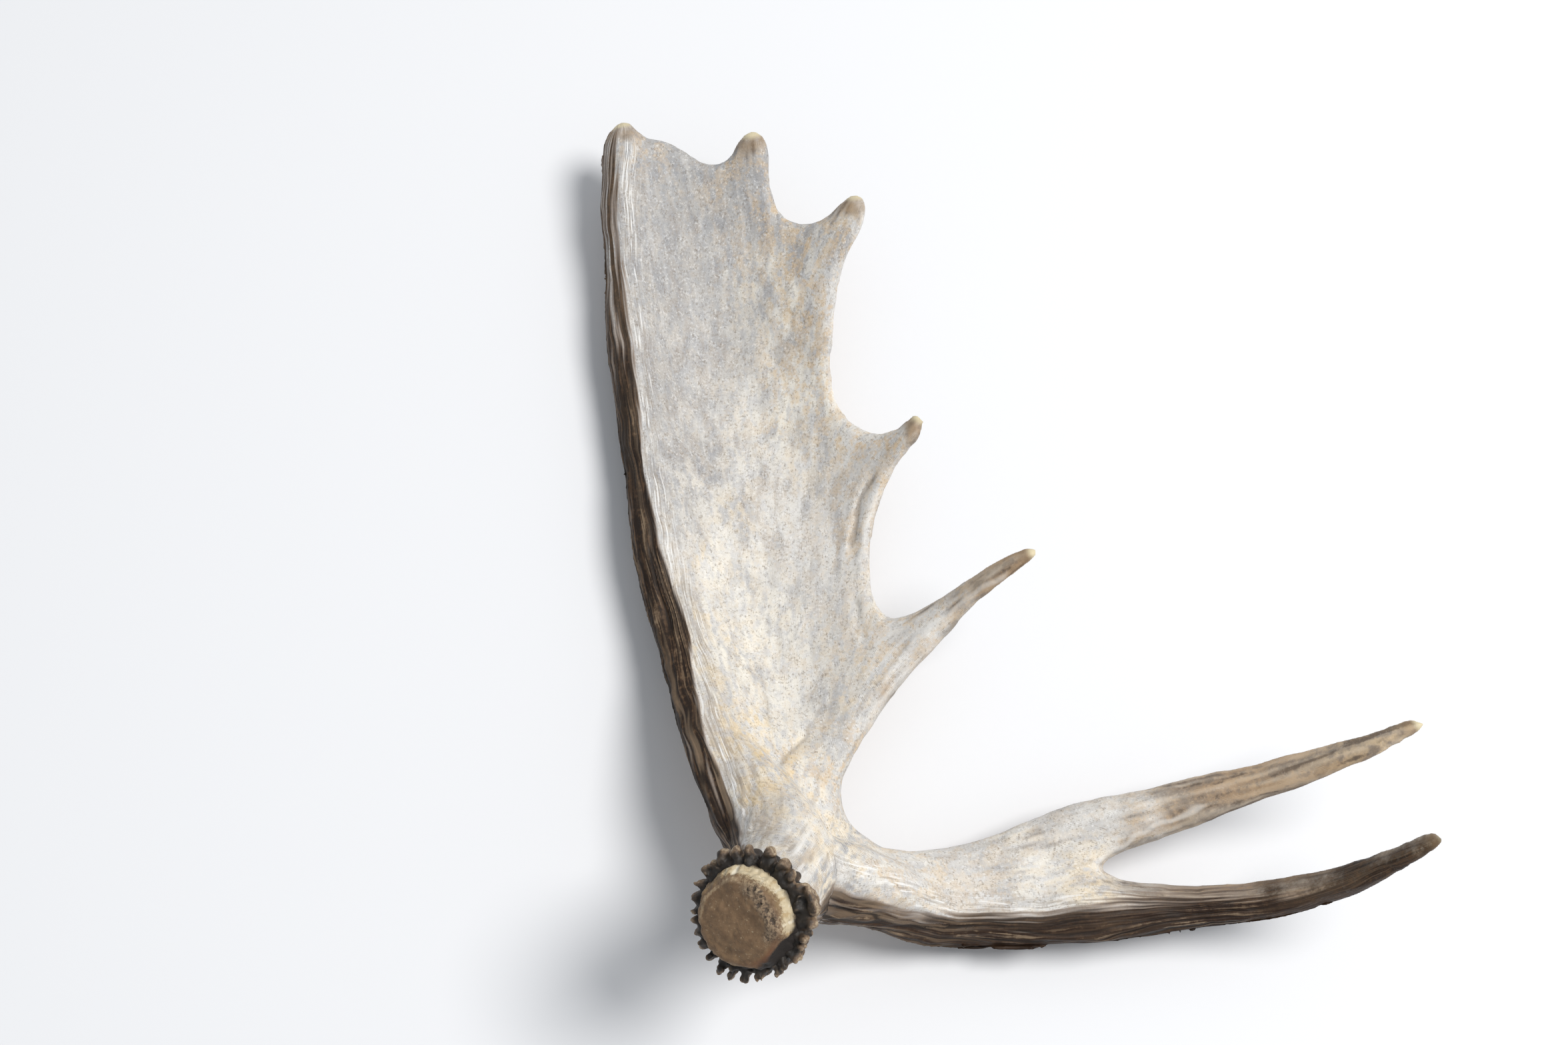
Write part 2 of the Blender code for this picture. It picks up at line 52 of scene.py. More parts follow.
NODES = ["beam", "palm", "palm_tine", "brow_palm", "upper_brow_tine", "lower_brow_tine"]

# Base of the antler in the upright frame
BURR_CENTRE = (-19.0, -208.5, 200.0)
BURR_NORMAL = (-0.442, -0.096, 0.891)
SEAL_HEIGHT = 13.0
BURR_CUT = -13.0

# Resting pose: the turns about X and Y that lay the upright antler on its back
REST_ABOUT_X = 22.7
REST_ABOUT_Y = -4.85

# Skin: cuts closed by swelling the solids, then a fine grid and smoothing without shrinking
WELD = 0.02
SWELL = 0.3
VOXEL = 1.1
SMOOTH_REACH = 4.0
SMOOTH_IN = 0.5
SMOOTH_OUT = -0.52
SPIKE_TURNS = 2

# Lines that the bone grew along: rows of (x, y, z)
GROWTH = {
    "rear": [(-19, -208, 200), (-1, -199, 140), (-2, -185, 101), (-20, -158, 68), (-42, -119, 38),
             (-68, -48, -13), (-86, 36, -53), (-102, 125, -87), (-113, 216, -109), (-110, 268, -117)],
    "first point": [(-1, -199, 140), (2, -185, 95), (-15, -110, 10), (-34, 0, -50), (-50, 110, -110),
                    (-62, 200, -117), (-72, 255, -115)],
    "second point": [(-1, -199, 140), (4, -185, 95), (-2, -110, -5), (-10, 0, -60), (-14, 110, -105),
                     (-18, 200, -112), (-22, 262, -112)],
    "third point": [(1, -199, 140), (8, -185, 92), (12, -110, 5), (14, 0, -60), (18, 100, -88),
                    (28, 170, -98), (46, 217, -90)],
    "fourth point": [(2, -199, 138), (12, -185, 88), (26, -110, 20), (40, -20, -42), (55, 30, -50),
                     (88, 67, -36)],
    "long point": [(3, -199, 138), (16, -182, 84), (34, -140, 36), (60, -95, 10), (100, -58, 8),
                   (154, -16, 36)],
    "upper brow": [(-19, -208, 200), (0, -200, 140), (14, -202, 108), (50, -206, 60), (100, -205, 38),
                   (150, -195, 27), (220, -175, 26), (311, -147, 40), (378, -118, 62)],
    "lower brow": [(-19, -208, 200), (0, -202, 140), (10, -206, 115), (40, -220, 85), (90, -240, 47),
                   (150, -245, 41), (220, -235, 40), (290, -226, 48), (342, -205, 74), (382, -178, 102)]}
GROWTH_CORE = 12.0
GROWTH_STEP = 20.0
FIELD_STEP = 10.0

# Height at which the palm's skin is parted in two, to keep each piece small
PALM_SPLIT = 90.0

# Random field: numbers on a grid of this many cells a side, turned so that it slants
GRID = 96
GRID_TURN = np.array(Matrix.Rotation(0.7, 3, Vector((0.4, 0.8, 0.3))))
CELL_CORNERS = np.array([(k >> 2 & 1, k >> 1 & 1, k & 1) for k in range(8)])

# Camera: far enough in front of the upright antler's middle for the picture's perspective
EYE_DISTANCE = 1.35
LENS = 50.0
SENSOR = 36.0
CAMERA_REACH = 20.0

# Stage: the floor's side in metres, the light's direction in the upright frame, its distance,
# size, power and colour, and the light from all round
FLOOR_SIDE = 8.0
LIGHT_DIRECTION = (0.66, 0.45, 1.0)
LIGHT_DISTANCE = 4.0
LIGHT_SIZE = 1.9
LIGHT_POWER = 140.0
LIGHT_COLOUR = (1.0, 0.99, 0.97)
SKY_COLOUR = (0.90, 0.95, 1.0, 1.0)
SKY_STRENGTH = 0.46


def unit(vectors):
    """Scale each row to length 1."""
    length = np.linalg.norm(vectors, axis=-1, keepdims=True)
    return vectors / np.maximum(length, 1e-9)


def rise(values, low, high):
    """Smooth step from 0 at low to 1 at high."""
    t = np.clip((values - low) / (high - low), 0, 1)
    return t * t * (3 - 2 * t)


def bell(values, width):
    """1 at 0, falling away smoothly on both sides."""
    return np.exp(-(values / width) ** 2)


def lay_matrix():
    """Upright metres to the resting place, found from the seal's middle in the record."""
    turn = (Matrix.Rotation(math.radians(REST_ABOUT_Y), 4, "Y")
            @ Matrix.Rotation(math.radians(REST_ABOUT_X), 4, "X"))
    seal = (Vector(BURR_CENTRE) + SEAL_HEIGHT * Vector(BURR_NORMAL).normalized()) * MM
    stated = Vector(frame["record"]["mounts"][0]["pos_m"])
    return Matrix.Translation(stated - turn @ seal) @ turn


LAY = lay_matrix()


def to_upright(points):
    """Resting metres to upright millimetres."""
    back = np.array(LAY.inverted())
    return (points @ back[:3, :3].T + back[:3, 3]) / MM


def to_rest(points):
    """Upright millimetres to resting metres."""
    there = np.array(LAY)
    return points * MM @ there[:3, :3].T + there[:3, 3]


def read(rows, name, width, kind):
    """One kind of number from a mesh, that many to a row."""
    flat = np.empty(width * len(rows), kind)
    rows.foreach_get(name, flat)
    return flat.reshape(-1, width)


def mesh_quads(mesh):
    """Faces of a mesh as rows of four corners; a triangle repeats its last corner."""
    starts = read(mesh.polygons, "loop_start", 1, int)
    last = read(mesh.polygons, "loop_total", 1, int) - 1
    corners = read(mesh.loops, "vertex_index", 1, int).ravel()
    return corners[starts + np.minimum(np.arange(4), last)]


def vertex_normals(points, quads):
    """Normals from the faces' diagonals, gathered at the vertices."""
    corners = points[quads]
    across = np.cross(corners[:, 2] - corners[:, 0], corners[:, 3] - corners[:, 1])
    total = np.zeros_like(points)
    for corner in range(4):
        for axis in range(3):
            total[:, axis] += np.bincount(quads[:, corner], across[:, axis], len(points))
    return unit(total)


def neighbour_mean(field, edges):
    """Mean of each vertex's neighbours."""
    total = np.zeros_like(field)
    for axis in range(field.shape[1]):
        total[:, axis] = (np.bincount(edges[:, 0], field[edges[:, 1], axis], len(field))
                          + np.bincount(edges[:, 1], field[edges[:, 0], axis], len(field)))
    return total / np.bincount(edges.ravel(), minlength=len(field))[:, None]


def smooth(points, edges, turns):
    """Even out the skin; every step inwards is followed by one outwards, so nothing shrinks."""
    for _ in range(turns):
        for factor in (SMOOTH_IN, SMOOTH_OUT):
            points = points + factor * (neighbour_mean(points, edges) - points)
    return points


def plain_object(name, mesh):
    """Put a mesh in an object of the scene."""
    made = bpy.data.objects.new(name, mesh)
    bpy.context.scene.collection.objects.link(made)
    return made


def swollen_solid(node):
    """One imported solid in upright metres, a little swollen, without the coarse burr."""
    solid = bmesh.new()
    solid.from_mesh(frame["nodes"][node].data)
    solid.transform(LAY.inverted())
    bmesh.ops.remove_doubles(solid, verts=solid.verts, dist=WELD * MM)
    solid.normal_update()
    for vert in solid.verts:
        vert.co += vert.normal * SWELL * MM
    if node == "beam":
        normal = Vector(BURR_NORMAL).normalized()
        place = (Vector(BURR_CENTRE) + BURR_CUT * normal) * MM
        cut = bmesh.ops.bisect_plane(solid, geom=solid.verts[:] + solid.edges[:] + solid.faces[:],
                                     plane_co=place, plane_no=normal, clear_outer=True)
        rim = [piece for piece in cut["geom_cut"] if isinstance(piece, bmesh.types.BMEdge)]
        bmesh.ops.holes_fill(solid, edges=rim)
    mesh = bpy.data.meshes.new(node)
    solid.to_mesh(mesh)
    solid.free()
    return mesh


def grow(shape, pitch):
    """Fuse a shape's overlapping parts on a fine grid."""
    mesh = bpy.data.meshes.new("shape")
    shape.to_mesh(mesh)
    shape.free()
    lump = plain_object("shape", mesh)
    remesh = lump.modifiers.new("Grow together", "REMESH")
    remesh.mode = "VOXEL"
    remesh.voxel_size = pitch * MM
    grown = bpy.data.meshes.new_from_object(lump.evaluated_get(bpy.context.evaluated_depsgraph_get()))
    bpy.data.objects.remove(lump, do_unlink=True)
    bpy.data.meshes.remove(mesh)
    return grown


def joined_solids():
    """All solids as one shape."""
    joined = bmesh.new()
    for node in NODES:
        mesh = swollen_solid(node)
        joined.from_mesh(mesh)
        bpy.data.meshes.remove(mesh)
    return joined


def smooth_line(rows, step):
    """Catmull-Rom curve through the rows, a point about every step."""
    path = np.array(rows, float)
    path = np.vstack([2 * path[0] - path[1], path, 2 * path[-1] - path[-2]])
    out = []
    for a, b, c, d in zip(path[:-3], path[1:-2], path[2:-1], path[3:]):
        pieces = max(1, int(round(np.linalg.norm(c - b) / step)))
        for t in np.arange(pieces) / pieces:
            out.append(0.5 * (2 * b + (c - a) * t + (2 * a - 5 * b + 4 * c - d) * t ** 2
                              + (3 * b - a - 3 * c + d) * t ** 3))
    out.append(path[-2])
    return np.array(out)


def flat_line(rows):
    """Curve through the rows of (x, y), laid flat."""
    return smooth_line([(x, y, 0) for x, y in rows], GROWTH_STEP)


def nearest_on(points, path):
    """Distance to a polyline, the heading there and the length run so far."""
    best = np.full(len(points), np.inf)
    heading = np.zeros_like(points)
    along = np.zeros(len(points))
    done = 0.0
    for start, end in zip(path[:-1], path[1:]):
        run = end - start
        length = np.linalg.norm(run)
        t = np.clip((points - start) @ run / length ** 2, 0, 1)
        away = ((points - start - t[:, None] * run) ** 2).sum(axis=1)
        near = away < best
        best[near] = away[near]
        heading[near] = run / length
        along[near] = done + t[near] * length
        done += length
    return np.sqrt(best), heading, along


def growth_directions(points):
    """Direction of growth: the growth lines' headings, mixed by nearness."""
    total = np.zeros_like(points)
    for rows in GROWTH.values():
        away, heading, _ = nearest_on(points, smooth_line(rows, GROWTH_STEP))
        total += heading / (away ** 2 + GROWTH_CORE ** 2)[:, None] ** 2
    return unit(total)


class GrowthField:
    """Directions of growth on a coarse grid, read smoothly anywhere in between."""

    def __init__(self, points):
        self.low = points.min(axis=0) - FIELD_STEP
        self.shape = np.ceil((points.max(axis=0) - self.low) / FIELD_STEP).astype(int) + 3
        axes = [self.low[k] + FIELD_STEP * np.arange(self.shape[k]) for k in range(3)]
        nodes = np.stack(np.meshgrid(*axes, indexing="ij"), axis=-1).reshape(-1, 3)
        self.heading = growth_directions(nodes).astype(np.float32)

    def at(self, points):
        """Direction of growth at the points."""
        place = np.clip((points - self.low) / FIELD_STEP, 0, self.shape - 1.001)
        cell = place.astype(np.int32)
        t = (place - cell).astype(np.float32)
        total = np.zeros(points.shape, np.float32)
        for shift in CELL_CORNERS:
            index = ((cell[:, 0] + shift[0]) * self.shape[1] + cell[:, 1] + shift[1]) * self.shape[2]
            weight = np.prod(np.where(shift == 1, t, 1 - t), axis=1)
            total += weight[:, None] * self.heading[index + cell[:, 2] + shift[2]]
        return total


def soft_noise(points, pitch, seed):
    """Smooth random field: random numbers on a slanting grid, blended between its corners."""
    grid = np.random.default_rng(seed).standard_normal(GRID ** 3)
    place = points @ GRID_TURN / pitch
    cell = np.floor(place).astype(int)
    t = place - cell
    t = t * t * (3 - 2 * t)
    total = np.zeros(len(points))
    for shift in CELL_CORNERS:
        at = (cell + shift) % GRID
        weight = np.prod(np.where(shift == 1, t, 1 - t), axis=1)
        total += weight * grid[(at[:, 0] * GRID + at[:, 1]) * GRID + at[:, 2]]
    return total


def strands(field, points, pitch, reach, seed):
    """Noise drawn out along the growth, with unit spread: the bone's fibres."""
    step = 0.8 * pitch
    turns = int(round(reach / step))
    total = soft_noise(points, pitch, seed)
    for way in (step, -step):
        place = points
        for k in range(1, turns + 1):
            place = place + way * field.at(place)
            total += (0.5 + 0.5 * math.cos(math.pi * k / (turns + 1))) * soft_noise(place, pitch, seed)
    total -= total.mean()
    return total / total.std()


# ---- relief of the skin -------------------------------------------------------------------

# The two ribs, rows of (x, y, z), and how far from them their flanks reach
REAR_RIB = [(-110, 262, -117), (-113, 216, -109), (-109, 170, -99), (-102, 125, -87), (-94, 80, -71),
            (-86, 36, -53), (-78, -7, -32), (-68, -48, -13), (-54, -88, 10), (-42, -119, 38),
            (-28, -153, 65), (-12, -185, 90), (-2, -200, 130), (-10, -205, 165)]
BROW_RIB = [(14, -206, 110), (40, -218, 85), (70, -228, 62), (100, -236, 46), (150, -238, 41),
            (200, -233, 40), (250, -230, 44), (300, -223, 52), (350, -198, 80), (380, -180, 102)]
REAR_REACH = 42.0
BROW_REACH = 40.0

# Crests that the furrowed flanks fall away from: rows of (x, y)
REAR_CREST = [(-112, 262), (-109, 201), (-103, 146), (-97, 97), (-89, 34), (-78, -14), (-68, -44),
              (-60, -64), (-54, -97), (-46, -129), (-31, -159), (-24, -176), (-20, -200), (-20, -216)]
BROW_CREST = [(-6, -214), (6, -209), (16, -204), (26, -199), (41, -200), (56, -208), (79, -225),
              (103, -234), (126, -236), (149, -236), (168, -233), (187, -229), (209, -226),
              (259, -223), (296, -222), (335, -213), (362, -200), (386, -182)]
CREST_INSET = 6.0
CREST_SPREAD = 7.0
PATH_STEP = 8.0
FLANK_WIDTH = 18.0
FLANK_CHAMFER = 2.2
UNDER_WIDTH = 27.0
UNDER_CHAMFER = 3.6

# Where the flanks change, each from one place to another: x along the brow, -y down the rear
BROW_STARTS = (8, 30)
BROW_WORN = (60, 130)
BROW_PALER = (270, 330)
BROW_PLAIN = (255, 315)
BARK_FILLS = (-200, -20)
FURROWS_FILL = (-180, 0)
REAR_WORN = (60, 180)
BORDER_STARTS = (-60, 110)
BORDER_WIDENS = (90, 150)
NECK = (50, 130)

# Furrows of the flanks: depth, width against the noise that lays them, how far round they go,
# and how the noise is laid: spacing, how much longer than wide, the limb's nominal radius, and
# how far apart in the noise the two limbs lie
FURROW_DEPTH = 1.0
FURROW_WIDTH = 0.40
FLANK_REACH = 36.0
FURROW_PITCH = 3.2
FURROW_STRETCH = 16.0
LIMB_RADIUS = 20.0
LIMBS_APART = 50.0

TIPS = [(-110, 268, -117), (-22, 262, -112), (47, 218, -90), (88, 68, -36), (154, -16, 36),
        (379, -118, 62), (382, -178, 102)]
TIP_REACH = 22.0

# Single marks: rows of (x, y), the side they are on, half-width and height
MARKS = {
    "vessel by the fourth bay": ([(58, 33), (50, 15), (46, 6), (42, -11), (42, -21)], 1, 2.0, -1.3),
    "rim of that vessel": ([(61, 22), (54, 8), (50, -6), (49, -20), (49, -34)], 1, 2.2, 0.7),
    "vessel below it": ([(42, -46), (46, -60), (50, -76)], 1, 1.6, -0.6),
    "crease at the long point": ([(31, -107), (12, -128), (-6, -147)], 1, 1.6, -0.6),
    "hollow beside the crease": ([(22, -124), (6, -140), (-10, -152)], 1, 6.0, -0.6),
    "upper ridge of the long point": ([(60, -98), (88, -66), (118, -42), (140, -26)], 1, 2.4, 0.8),
    "lower ridge of the long point": ([(48, -122), (70, -98), (95, -72), (120, -50)], 1, 2.0, 0.6),
    "crest of the upper brow": ([(186, -207), (207, -192), (230, -179), (258, -168)], 1, 2.2, 0.9),
    "crease of the brow web": ([(144, -210), (150, -213), (156, -214)], 1, 1.4, -0.8),
    "back trunk vessel": ([(0, -110), (4, -60), (-4, 10), (-12, 70), (-14, 130), (-6, 190)], -1, 2.6, -1.4),
    "back rear vessel": ([(-12, 70), (-34, 130), (-52, 180), (-66, 230)], -1, 2.2, -1.1),
    "back left vessel": ([(-4, 10), (-40, 60), (-70, 120), (-82, 180)], -1, 2.0, -0.9),
    "back right vessel": ([(4, -60), (24, -10), (48, 26), (70, 52)], -1, 2.2, -1.1),
    "back bay vessel": ([(-14, 130), (8, 158), (30, 190)], -1, 1.8, -0.8),
    "back long vessel": ([(0, -110), (36, -106), (76, -78), (118, -42)], -1, 2.4, -1.2),
    "back brow vessel": ([(50, -216), (110, -212), (170, -196), (240, -176), (300, -154)], -1, 2.4, -1.3),
    "back lower vessel": ([(110, -212), (170, -224), (230, -230), (290, -222)], -1, 2.2, -1.1)}
MARK_DRIFT = 1.2
SCRATCH_HEIGHT = 0.40
SCRATCH_WIDTH = 0.9
SCRATCHES = ([(-15, 53), (-28, 24), (-43, -7)], [(-8, 48), (-20, 22), (-34, -12)], [(-2, 30), (-12, 6)],
             [(-24, 66), (-38, 32)], [(12, -60), (2, -80)], [(20, -46), (6, -72)])

# Old scar: x, y, half-width, half-length and tilt in degrees, and the height of its rim
SCAR = (-43.0, 199.0, 3.6, 8.0)
SCAR_TILT = 25.0
SCAR_HEIGHT = 0.5

# Fuller place near the lower brow tine's tip: its middle, radius and height
FULLER = (354, -200, 92)
FULLER_RADIUS = 16.0
FULLER_HEIGHT = 1.8


def close_to(points, rows, width):
    """1 on a line, falling to 0 about a width away."""
    away, _, _ = nearest_on(points, smooth_line(rows, GROWTH_STEP))
    return np.exp(-(away / width) ** 4)


def round_limb(points, rows):
    """How far round a limb (angle times the nominal radius) and how far along it each point is."""
    path = smooth_line(rows, PATH_STEP)
    run = unit(np.diff(path, axis=0))
    _, _, along = nearest_on(points, path)
    marks = np.r_[0, np.cumsum(np.linalg.norm(np.diff(path, axis=0), axis=1))]
    middle = 0.5 * (marks[:-1] + marks[1:])
    heading = unit(np.stack([np.interp(along, middle, run[:, k]) for k in range(3)], axis=1))
    centre = np.stack([np.interp(along, marks, path[:, k]) for k in range(3)], axis=1)
    up = unit(np.cross(heading, np.cross((0.0, 0.0, 1.0), heading)))
    side = np.cross(heading, up)
    away = points - centre
    angle = np.arctan2((away * side).sum(axis=1), (away * up).sum(axis=1))
    return LIMB_RADIUS * angle, along


class Skin:
    """The grown skin as arrays, with the fields that the relief and the colours are made from."""

    def __init__(self, mesh, pitch, reach):
        self.points = read(mesh.vertices, "co", 3, float) / MM
        self.quads = mesh_quads(mesh)
        self.edges = read(mesh.edges, "vertices", 2, int)
        self.points = smooth(self.points, self.edges, int(round(2 * (reach / pitch) ** 2)))
        self.normals = vertex_normals(self.points, self.quads)
        self.height = np.zeros(len(self.points))
        self.fields = {}
        self.growth = None

    def find_growth(self):
        """Direction of growth along the skin."""
        self.directions = GrowthField(self.points)
        growth = self.directions.at(self.points)
        self.growth = unit(growth - (growth * self.normals).sum(axis=1)[:, None] * self.normals)

    def strands(self, pitch, reach, seed):
        """Fibre noise on this skin."""
        return strands(self.directions, self.points, pitch, reach, seed)

    def noise(self, pitch, seed):
        """Plain soft noise on this skin, with unit spread."""
        field = soft_noise(self.points, pitch, seed)
        return field / field.std()

    def even_height(self, turns):
        """Take single spikes out of the height."""
        for _ in range(turns):
            mean = neighbour_mean(self.height[:, None], self.edges)[:, 0]
            self.height = 0.5 * (self.height + mean)

    def facing(self, low, high, side=1):
        """1 where the skin faces the hollow side, or the back where side is -1."""
        return rise(side * self.normals[:, 2], low, high)

    def raise_up(self):
        """Move the skin by its height and find its slopes again."""
        self.points = self.points + self.height[:, None] * self.normals
        self.normals = vertex_normals(self.points, self.quads)


def chamfer(skin, off_crest, width, depth, mask):
    """Flatten the round flank beside a crest by pressing its middle back."""
    t = np.clip(off_crest / width, 0, 1)
    skin.points[:, 2] -= depth * 4 * t * (1 - t) * mask * skin.facing(-0.2, 0.3)


def lift(skin, rows):
    """Bring rows of (x, y) up to the side of the skin that faces the hollow."""
    front = skin.points[skin.normals[:, 2] > 0.1]
    nearest = [np.hypot(front[:, 0] - x, front[:, 1] - y).argmin() for x, y in rows]
    return [(x, y, front[at, 2]) for (x, y), at in zip(rows, nearest)]


def way_round(skin, crest, beyond):
    """Way from a crest over the skin: positive on the flank that falls away beyond it."""
    away, _, _ = nearest_on(skin.points, smooth_line(lift(skin, crest), PATH_STEP))
    return np.where((beyond > 0) | (skin.normals[:, 2] < 0), away, -away)


def find_sides(skin):
    """Where the furrowed flanks, the brow's underside, the back and the tips are."""
    x, y, _ = skin.points.T
    rear_crest = np.array(REAR_CREST[::-1], float)
    brow_crest = np.array(BROW_CREST, float)
    off_rear = np.interp(y, rear_crest[:, 1], rear_crest[:, 0]) - x
    off_brow = np.interp(x, brow_crest[:, 0], brow_crest[:, 1]) - y
    rear = close_to(skin.points, REAR_RIB, REAR_REACH)
    brow = close_to(skin.points, BROW_RIB, BROW_REACH) * rise(x, *BROW_STARTS)
    chamfer(skin, off_rear, FLANK_WIDTH, FLANK_CHAMFER, rear)
    chamfer(skin, off_brow, UNDER_WIDTH, UNDER_CHAMFER, brow)
    round_rear = way_round(skin, REAR_CREST, off_rear)
    round_brow = way_round(skin, BROW_CREST, off_brow)
    fields = skin.fields
    tips = [1 - np.linalg.norm(skin.points - place, axis=1) / TIP_REACH for place in TIPS]
    fields["tip"] = np.clip(np.max(tips, axis=0), 0, 1)
    fields["neck"] = 1 - rise(np.linalg.norm(skin.points - np.array(BURR_CENTRE), axis=1), *NECK)
    fields["back"] = skin.facing(0.0, 0.5, -1)
    soft = -3.0 - 12.0 * fields["back"]
    fields["rear"] = rear * rise(off_rear, soft, 4.0) * (1 - rise(round_rear, FLANK_REACH - 12, FLANK_REACH))
    # The brow's bark starts lower near the beam, most of all where the crest bulges
    beyond = 3 * (1 - rise(x, 90, 125)) + 11 * bell(x - 54, 22)
    fields["under"] = brow * rise(off_brow - beyond, -10.0, 10.0) * (
        1 - rise(round_brow, FLANK_REACH - 8, FLANK_REACH))
    fields["bark"] = np.maximum(fields["rear"] * (0.42 + 0.58 * rise(-y, *BARK_FILLS)),
                                fields["under"] * (1 - 0.35 * rise(x, *BROW_PALER)))
    fields["worn"] = np.maximum(rear * rise(-y, *REAR_WORN), brow * (1 - rise(x, *BROW_WORN)))
    fields["plain"] = rise(x, *BROW_PLAIN)
    front = skin.facing(0.0, 0.4)
    wide = rise(-y, *BORDER_WIDENS)
    fields["border"] = front * rear * rise(-y, *BORDER_STARTS) * (0.7 + 0.3 * wide) * bell(
        round_rear + 8 + 5 * wide, 6 + 9 * wide)
    fields["crest"] = front * (rear * bell(round_rear + CREST_INSET, CREST_SPREAD)
                               + brow * bell(round_brow + CREST_INSET, CREST_SPREAD))
    lay_lines(skin, rear > brow)


def lay_lines(skin, mostly_rear):
    """Lay the furrows' noise round and along whichever limb is nearer."""
    laid = []
    for rows in (REAR_RIB, BROW_RIB):
        over, along = round_limb(skin.points, rows)
        laid.append(np.c_[over + 0.5 * skin.noise(14.0, 8), along / FURROW_STRETCH])
    place = np.where(mostly_rear[:, None], laid[0], laid[1])
    skin.fields["over"], skin.fields["along"] = place.T
    skin.fields["line"] = soft_noise(np.c_[place, LIMBS_APART * mostly_rear], FURROW_PITCH, 9)


def raise_fibres(skin):
    """Furrows, ridges and fibres that follow the growth."""
    fields = skin.fields
    fields["fine"] = skin.strands(1.9, 14, 1)
    fields["middle"] = skin.strands(2.7, 36, 2)
    fields["coarse"] = skin.strands(6.0, 70, 3)
    calm = (1 - rise(fields["tip"], 0.0, 0.6)) * (1 - fields["plain"])
    rough = np.maximum(fields["rear"], fields["under"]) * calm
    half = 0.6 * np.maximum(fields["neck"], fields["back"])
    top = 0.12 + 0.88 * np.maximum(rise(-skin.points[:, 1], *FURROWS_FILL), fields["under"])
    fields["furrow"] = rough * top * (0.35 + 0.65 * rise(fields["coarse"], -1.4, 0.4))
    skin.height -= FURROW_DEPTH * bell(fields["line"], FURROW_WIDTH) * fields["furrow"]
    skin.height += calm * fields["fine"] * (0.03 + 0.05 * rough + 0.03 * fields["crest"])
    skin.height += calm * fields["middle"] * (0.02 + 0.12 * rough + 0.10 * half + 0.06 * fields["crest"])
    skin.height += calm * fields["coarse"] * (0.04 + 0.30 * rough * top + 0.20 * half)
    skin.height += 0.35 * skin.noise(28.0, 4) + 0.14 * skin.noise(11.0, 5)


def raise_marks(skin):
    """Vessels, creases, ridges, scratches and a scar that have a place of their own."""
    flat = np.c_[skin.points[:, :2], np.zeros(len(skin.points))]
    flat += MARK_DRIFT * np.c_[skin.noise(9.0, 6), skin.noise(9.0, 7), np.zeros(len(flat))]
    mark = np.zeros(len(flat))
    for rows, side, width, height in MARKS.values():
        line = flat_line(rows)
        away, _, along = nearest_on(flat, line)
        length = np.linalg.norm(np.diff(line, axis=0), axis=1).sum()
        fade = rise(along, -1, 8) * (1 - rise(along, length - 10, length + 1))
        mark += height * bell(away, width) * fade * skin.facing(0.1, 0.5, side)
    front = skin.facing(0.1, 0.5)
    for rows in SCRATCHES:
        away, _, _ = nearest_on(flat, flat_line(rows))
        mark += SCRATCH_HEIGHT * bell(away, SCRATCH_WIDTH) * front
    x, y, across, along = SCAR
    tilt = math.radians(SCAR_TILT)
    over, up = flat[:, 0] - x, flat[:, 1] - y
    away = np.hypot((over * math.cos(tilt) - up * math.sin(tilt)) / across,
                    (over * math.sin(tilt) + up * math.cos(tilt)) / along)
    mark += SCAR_HEIGHT * front * (bell(away - 1, 0.22) - bell(away, 0.7))
    away = np.linalg.norm(skin.points - FULLER, axis=1)
    skin.height += FULLER_HEIGHT * bell(away, FULLER_RADIUS)
    skin.height += mark
    skin.fields["mark"] = mark


